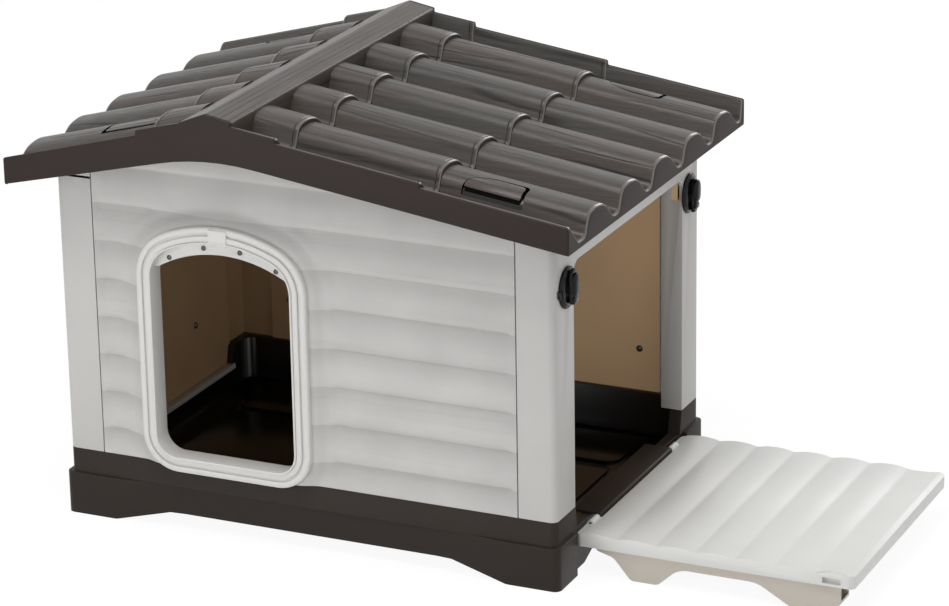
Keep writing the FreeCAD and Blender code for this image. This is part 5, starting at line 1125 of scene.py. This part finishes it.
class DOGHOUSE_OT_knobs(bpy.types.Operator):
    """Make the two turn knobs: a stepped disc with a lug, a locking bar and a domed grip"""

    bl_idname = "doghouse.knobs"
    bl_label = "Turn knobs"

    def execute(self, context):
        for side, end in ((-1, "front"), (1, "rear")):
            disc = pebble([(0.3, 23.4, 24.8, 0), (0.8, 24.0, 25.4, 0), (2.0, 24.0, 25.4, 0), (2.9, 23.2, 24.6, 0),
                           (3.0, 21.6, 22.6, 0), (4.2, 21.0, 22.0, 0), (4.9, 19.6, 20.6, 0)], side, 2.0, 72)
            hub = pebble([(4.4, 11.5, 11.5, 0), (8, 11.5, 11.5, 0)], side, 2.0, 40)
            up = -side * BAR_SHIFT
            bar = pebble([(5.8, 8.4, 21.0, up), (6.2, 9.0, 21.6, up), (8.8, 9.0, 21.6, up), (9.9, 8.2, 20.8, up),
                          (10.2, 6.4, 19.2, up)], side, 3.0)
            grip = pebble([(8.6, 9.0, 15.0, 4), (11.0, 8.9, 14.8, 4), (12.9, 8.0, 13.8, 4), (14.2, 6.2, 11.6, 4),
                           (14.8, 3.2, 7.5, 4)], side)
            nub = pebble([(8.6, 7.2, 4.6, -14.6), (11.4, 6.8, 4.2, -14.6), (12.4, 5.6, 3.2, -14.6)], side, 3.4)
            lug = pebble([(0.4, 3.8, 4.6, -2), (3.4, 3.8, 4.6, -2), (4.0, 3.2, 4.0, -2)], side, 6.0)
            lug.transform(Matrix.Translation((0, side * 23.5 * MM, 0)))
            stem = worked(copied("latch_knob_" + end))
            low = prism("stem_cut", [(0, 0), (1, 0), (1, 1), (0, 1)], lambda a, b, x: at(x, -300 + 600 * a, 600 * b),
                        HOUSE_HALF - 40, HOUSE_HALF + 0.3)
            stem = cut_by(stem, low, keep=True)
            show("turn_knob_" + end, joined("turn_knob", [disc, hub, bar, grip, nub, lug, stem]), "knob",
                 "latch_knob_" + end, crease=50)
        return {"FINISHED"}


# ---------------------------------------------------------------- screws

def screw_tree():
    """Pan heads with a cross recess at the given points, turned to face along their normals."""
    tree, g = new_group("Cross Screws", [
        ("Places", "NodeSocketGeometry", None), ("Head", "NodeSocketFloat", 0.0045),
        ("Recess", "NodeSocketFloat", 0.0005)], [("Geometry", "NodeSocketGeometry")], kind="GeometryNodeTree")
    ball = g.node("GeometryNodeMeshUVSphere", {"Segments": 24, "Rings": 14, "Radius": 1.0}).outputs[0]
    place = g.node("ShaderNodeSeparateXYZ", {0: g.node("GeometryNodeInputPosition").outputs[0]}).outputs
    flat = g.maths("MAXIMUM", g.maths("MULTIPLY", place["Z"], 0.7), 0.0)
    thin = g.maths("LESS_THAN", g.maths("MINIMUM", g.maths("ABSOLUTE", place["X"]),
                                        g.maths("ABSOLUTE", place["Y"])), 0.17)
    near = g.maths("LESS_THAN", g.maths("MAXIMUM", g.maths("ABSOLUTE", place["X"]),
                                        g.maths("ABSOLUTE", place["Y"])), 0.62)
    deep = g.maths("MULTIPLY", g.maths("MULTIPLY", thin, near), 0.45)
    high = g.maths("MAXIMUM", g.maths("SUBTRACT", flat, deep), 0.0)
    spot = g.node("ShaderNodeCombineXYZ", {0: place["X"], 1: place["Y"], 2: high}).outputs[0]
    head = g.node("GeometryNodeSetPosition", {"Geometry": ball, "Position": spot}).outputs[0]
    normal = g.node("GeometryNodeInputNamedAttribute", {"Name": "facing"}, data_type="FLOAT_VECTOR").outputs[0]
    turned = g.node("FunctionNodeAlignRotationToVector", {"Vector": normal}, axis="Z").outputs[0]
    size = g.node("ShaderNodeCombineXYZ", {0: g.ins["Head"], 1: g.ins["Head"], 2: g.ins["Head"]}).outputs[0]
    many = g.node("GeometryNodeInstanceOnPoints", {"Points": g.ins["Places"], "Instance": head,
                                                   "Rotation": turned, "Scale": size}).outputs[0]
    close_tree(g, many, "steel")
    return tree


class DOGHOUSE_OT_screws(bpy.types.Operator):
    """Give the screws pan heads with a cross recess"""

    bl_idname = "doghouse.screws"
    bl_label = "Screws"

    def execute(self, context):
        tree = screw_tree()
        wall = [((x, side * 219.6, 141), (0, -side, 0)) for side in (-1, 1) for x in (-250, 250)]
        wall += [((-318.8, y, 141), (1, 0, 0)) for y in (-85, 85)]
        strip = [((DOOR_MIDDLE + side * 64 * share, -RING_FACE + 17.9 - STRIP_FORWARD, 363.5 + rise), (0, -1, 0))
                 for side in (-1, 1) for share, rise in ((1.12, -11), (0.38, 6.5))]
        for name, node, places, head in (("wall_screw_heads", "wall_screws", wall, 4.5),
                                         ("strip_screw_heads", "curtain_strip_screws", strip, 3.2)):
            points = bpy.data.meshes.new(name)
            points.from_pydata([at(*place) for place, facing in places], [], [])
            facings = [c for place, facing in places for c in facing]
            points.attributes.new("facing", "FLOAT_VECTOR", "POINT").data.foreach_set("vector", facings)
            show(name, grown(name, tree, {"Head": head * MM}, points), "steel", node)
        return {"FINISHED"}


class DOGHOUSE_OT_finishes(bpy.types.Operator):
    """Give every carried-over node its plastic"""

    bl_idname = "doghouse.finishes"
    bl_label = "Plastics"

    def execute(self, context):
        for name, node in NODES.items():
            node.data.materials.clear()
            node.data.materials.append(material(NODE_FINISH[name]))
        return {"FINISHED"}


# ---------------------------------------------------------------- stage

class DOGHOUSE_OT_stage(bpy.types.Operator):
    """Make the floor, the lamps and the camera"""

    bl_idname = "doghouse.stage"
    bl_label = "Stage"

    def execute(self, context):
        settings = context.scene.house_stage
        self.make_floor()
        self.make_lamps(settings.lamp_power)
        self.make_camera(settings.lens)
        self.make_world(context.scene)
        context.scene.view_settings.view_transform = "Standard"
        return {"FINISHED"}

    def make_floor(self):
        mesh = bpy.data.meshes.new("floor")
        reach = 12.0
        mesh.from_pydata([(-reach, -reach, 0), (reach, -reach, 0), (reach, reach, 0), (-reach, reach, 0)],
                         [], [(0, 1, 2, 3)])
        floor = bpy.data.objects.new("floor", mesh)
        bpy.context.scene.collection.objects.link(floor)
        made, g = new_material("floor_white")
        g.shader.inputs["Base Color"].default_value = (0.9, 0.9, 0.9, 1)
        g.shader.inputs["Roughness"].default_value = 0.9
        nodes = made.node_tree.nodes
        output = next(n for n in nodes if n.bl_idname == "ShaderNodeOutputMaterial")
        rays = g.node("ShaderNodeLightPath").outputs
        seen = g.maths("MAXIMUM", rays["Is Camera Ray"], g.maths("MAXIMUM", rays["Is Glossy Ray"],
                                                                 rays["Is Transmission Ray"]))
        glow = g.node("ShaderNodeEmission", {"Color": (1, 1, 1, 1), "Strength": 1.05}).outputs[0]
        share = g.maths("MULTIPLY", seen, 0.88)
        mix = g.node("ShaderNodeMixShader", {0: share, 1: g.shader.outputs[0], 2: glow}).outputs[0]
        g.give(output.inputs["Surface"], mix)
        mesh.materials.append(made)

    def make_lamps(self, power):
        for name, place, size, share in (("key", (-1.4, -3.0, 0.9), 1.4, 0.22), ("fill", (3.2, -1.0, 1.0), 1.6, 0.12),
                                         ("bounce", (-0.45, -1.15, 0.02), 0.9, 0.085),
                                         ("top", (0.1, -0.9, 3.0), 1.4, 0.95), ("rim", (0.4, 3.4, 1.6), 1.2, 0.55)):
            lamp = bpy.data.lights.new(name, "AREA")
            lamp.energy = power * share
            lamp.size = size
            obj = bpy.data.objects.new(name, lamp)
            obj.location = place
            towards = Vector((0, 0, 0.25)) - Vector(place)
            obj.rotation_euler = towards.to_track_quat("-Z", "Y").to_euler()
            bpy.context.scene.collection.objects.link(obj)

    def make_camera(self, lens):
        data = bpy.data.cameras.new("photo_camera")
        data.lens = lens
        data.sensor_width = 36.0
        camera = bpy.data.objects.new("photo_camera", data)
        right = Vector((0.90982713, 0.41467595, -0.01607641))
        up = Vector((-0.12356586, 0.30768733, 0.9434299))
        back = -Vector((-0.3961642, 0.85637163, -0.33118207))
        turn = Matrix((right, up, back)).transposed()
        place = Vector((1.92884 + HOUSE_X, -3.90726, 1.76821))
        camera.matrix_world = Matrix.Translation(place) @ turn.to_4x4()
        bpy.context.scene.collection.objects.link(camera)
        bpy.context.scene.camera = camera

    def make_world(self, scene):
        world = bpy.data.worlds.new("studio")
        world.use_nodes = True
        scene.world = world
        g = Graph(world.node_tree)
        shade = world.node_tree.nodes["Background"]
        rays = g.node("ShaderNodeLightPath").outputs
        seen = g.maths("MAXIMUM", rays["Is Camera Ray"], g.maths("MAXIMUM", rays["Is Glossy Ray"],
                                                                 rays["Is Transmission Ray"]))
        shade.inputs["Color"].default_value = (1, 1, 1, 1)
        g.give(shade.inputs["Strength"], g.blend(seen, 0.45, 1.0, kind="FLOAT"))


class DOGHOUSE_PT_panel(bpy.types.Panel):
    """Lists the operators that make the dog house, and its colours and stage settings"""

    bl_label = "Dog House"
    bl_idname = "DOGHOUSE_PT_panel"
    bl_space_type = "VIEW_3D"
    bl_region_type = "UI"
    bl_category = "Dog House"

    def draw(self, context):
        for operator in OPERATORS:
            self.layout.operator(operator.bl_idname)
        for name, group in PROPERTY_GROUPS.items():
            for field in group.__annotations__:
                self.layout.prop(getattr(context.scene, name), field)


OPERATORS = [DOGHOUSE_OT_finishes, DOGHOUSE_OT_roof, DOGHOUSE_OT_walls, DOGHOUSE_OT_doorway,
             DOGHOUSE_OT_mouldings, DOGHOUSE_OT_knobs, DOGHOUSE_OT_screws, DOGHOUSE_OT_stage]


def register():
    for name, group in PROPERTY_GROUPS.items():
        bpy.utils.register_class(group)
        setattr(bpy.types.Scene, name, bpy.props.PointerProperty(type=group))
    for made in OPERATORS + [DOGHOUSE_PT_panel]:
        bpy.utils.register_class(made)


def unregister():
    for made in reversed(OPERATORS + [DOGHOUSE_PT_panel]):
        bpy.utils.unregister_class(made)
    for name, group in PROPERTY_GROUPS.items():
        delattr(bpy.types.Scene, name)
        bpy.utils.unregister_class(group)


def run_operator(operator):
    """Call an operator by its bl_idname."""
    group, name = operator.bl_idname.split(".")
    getattr(getattr(bpy.ops, group), name)()


def main():
    register()
    for operator in OPERATORS:
        run_operator(operator)


if __name__ == "__main__":
    main()
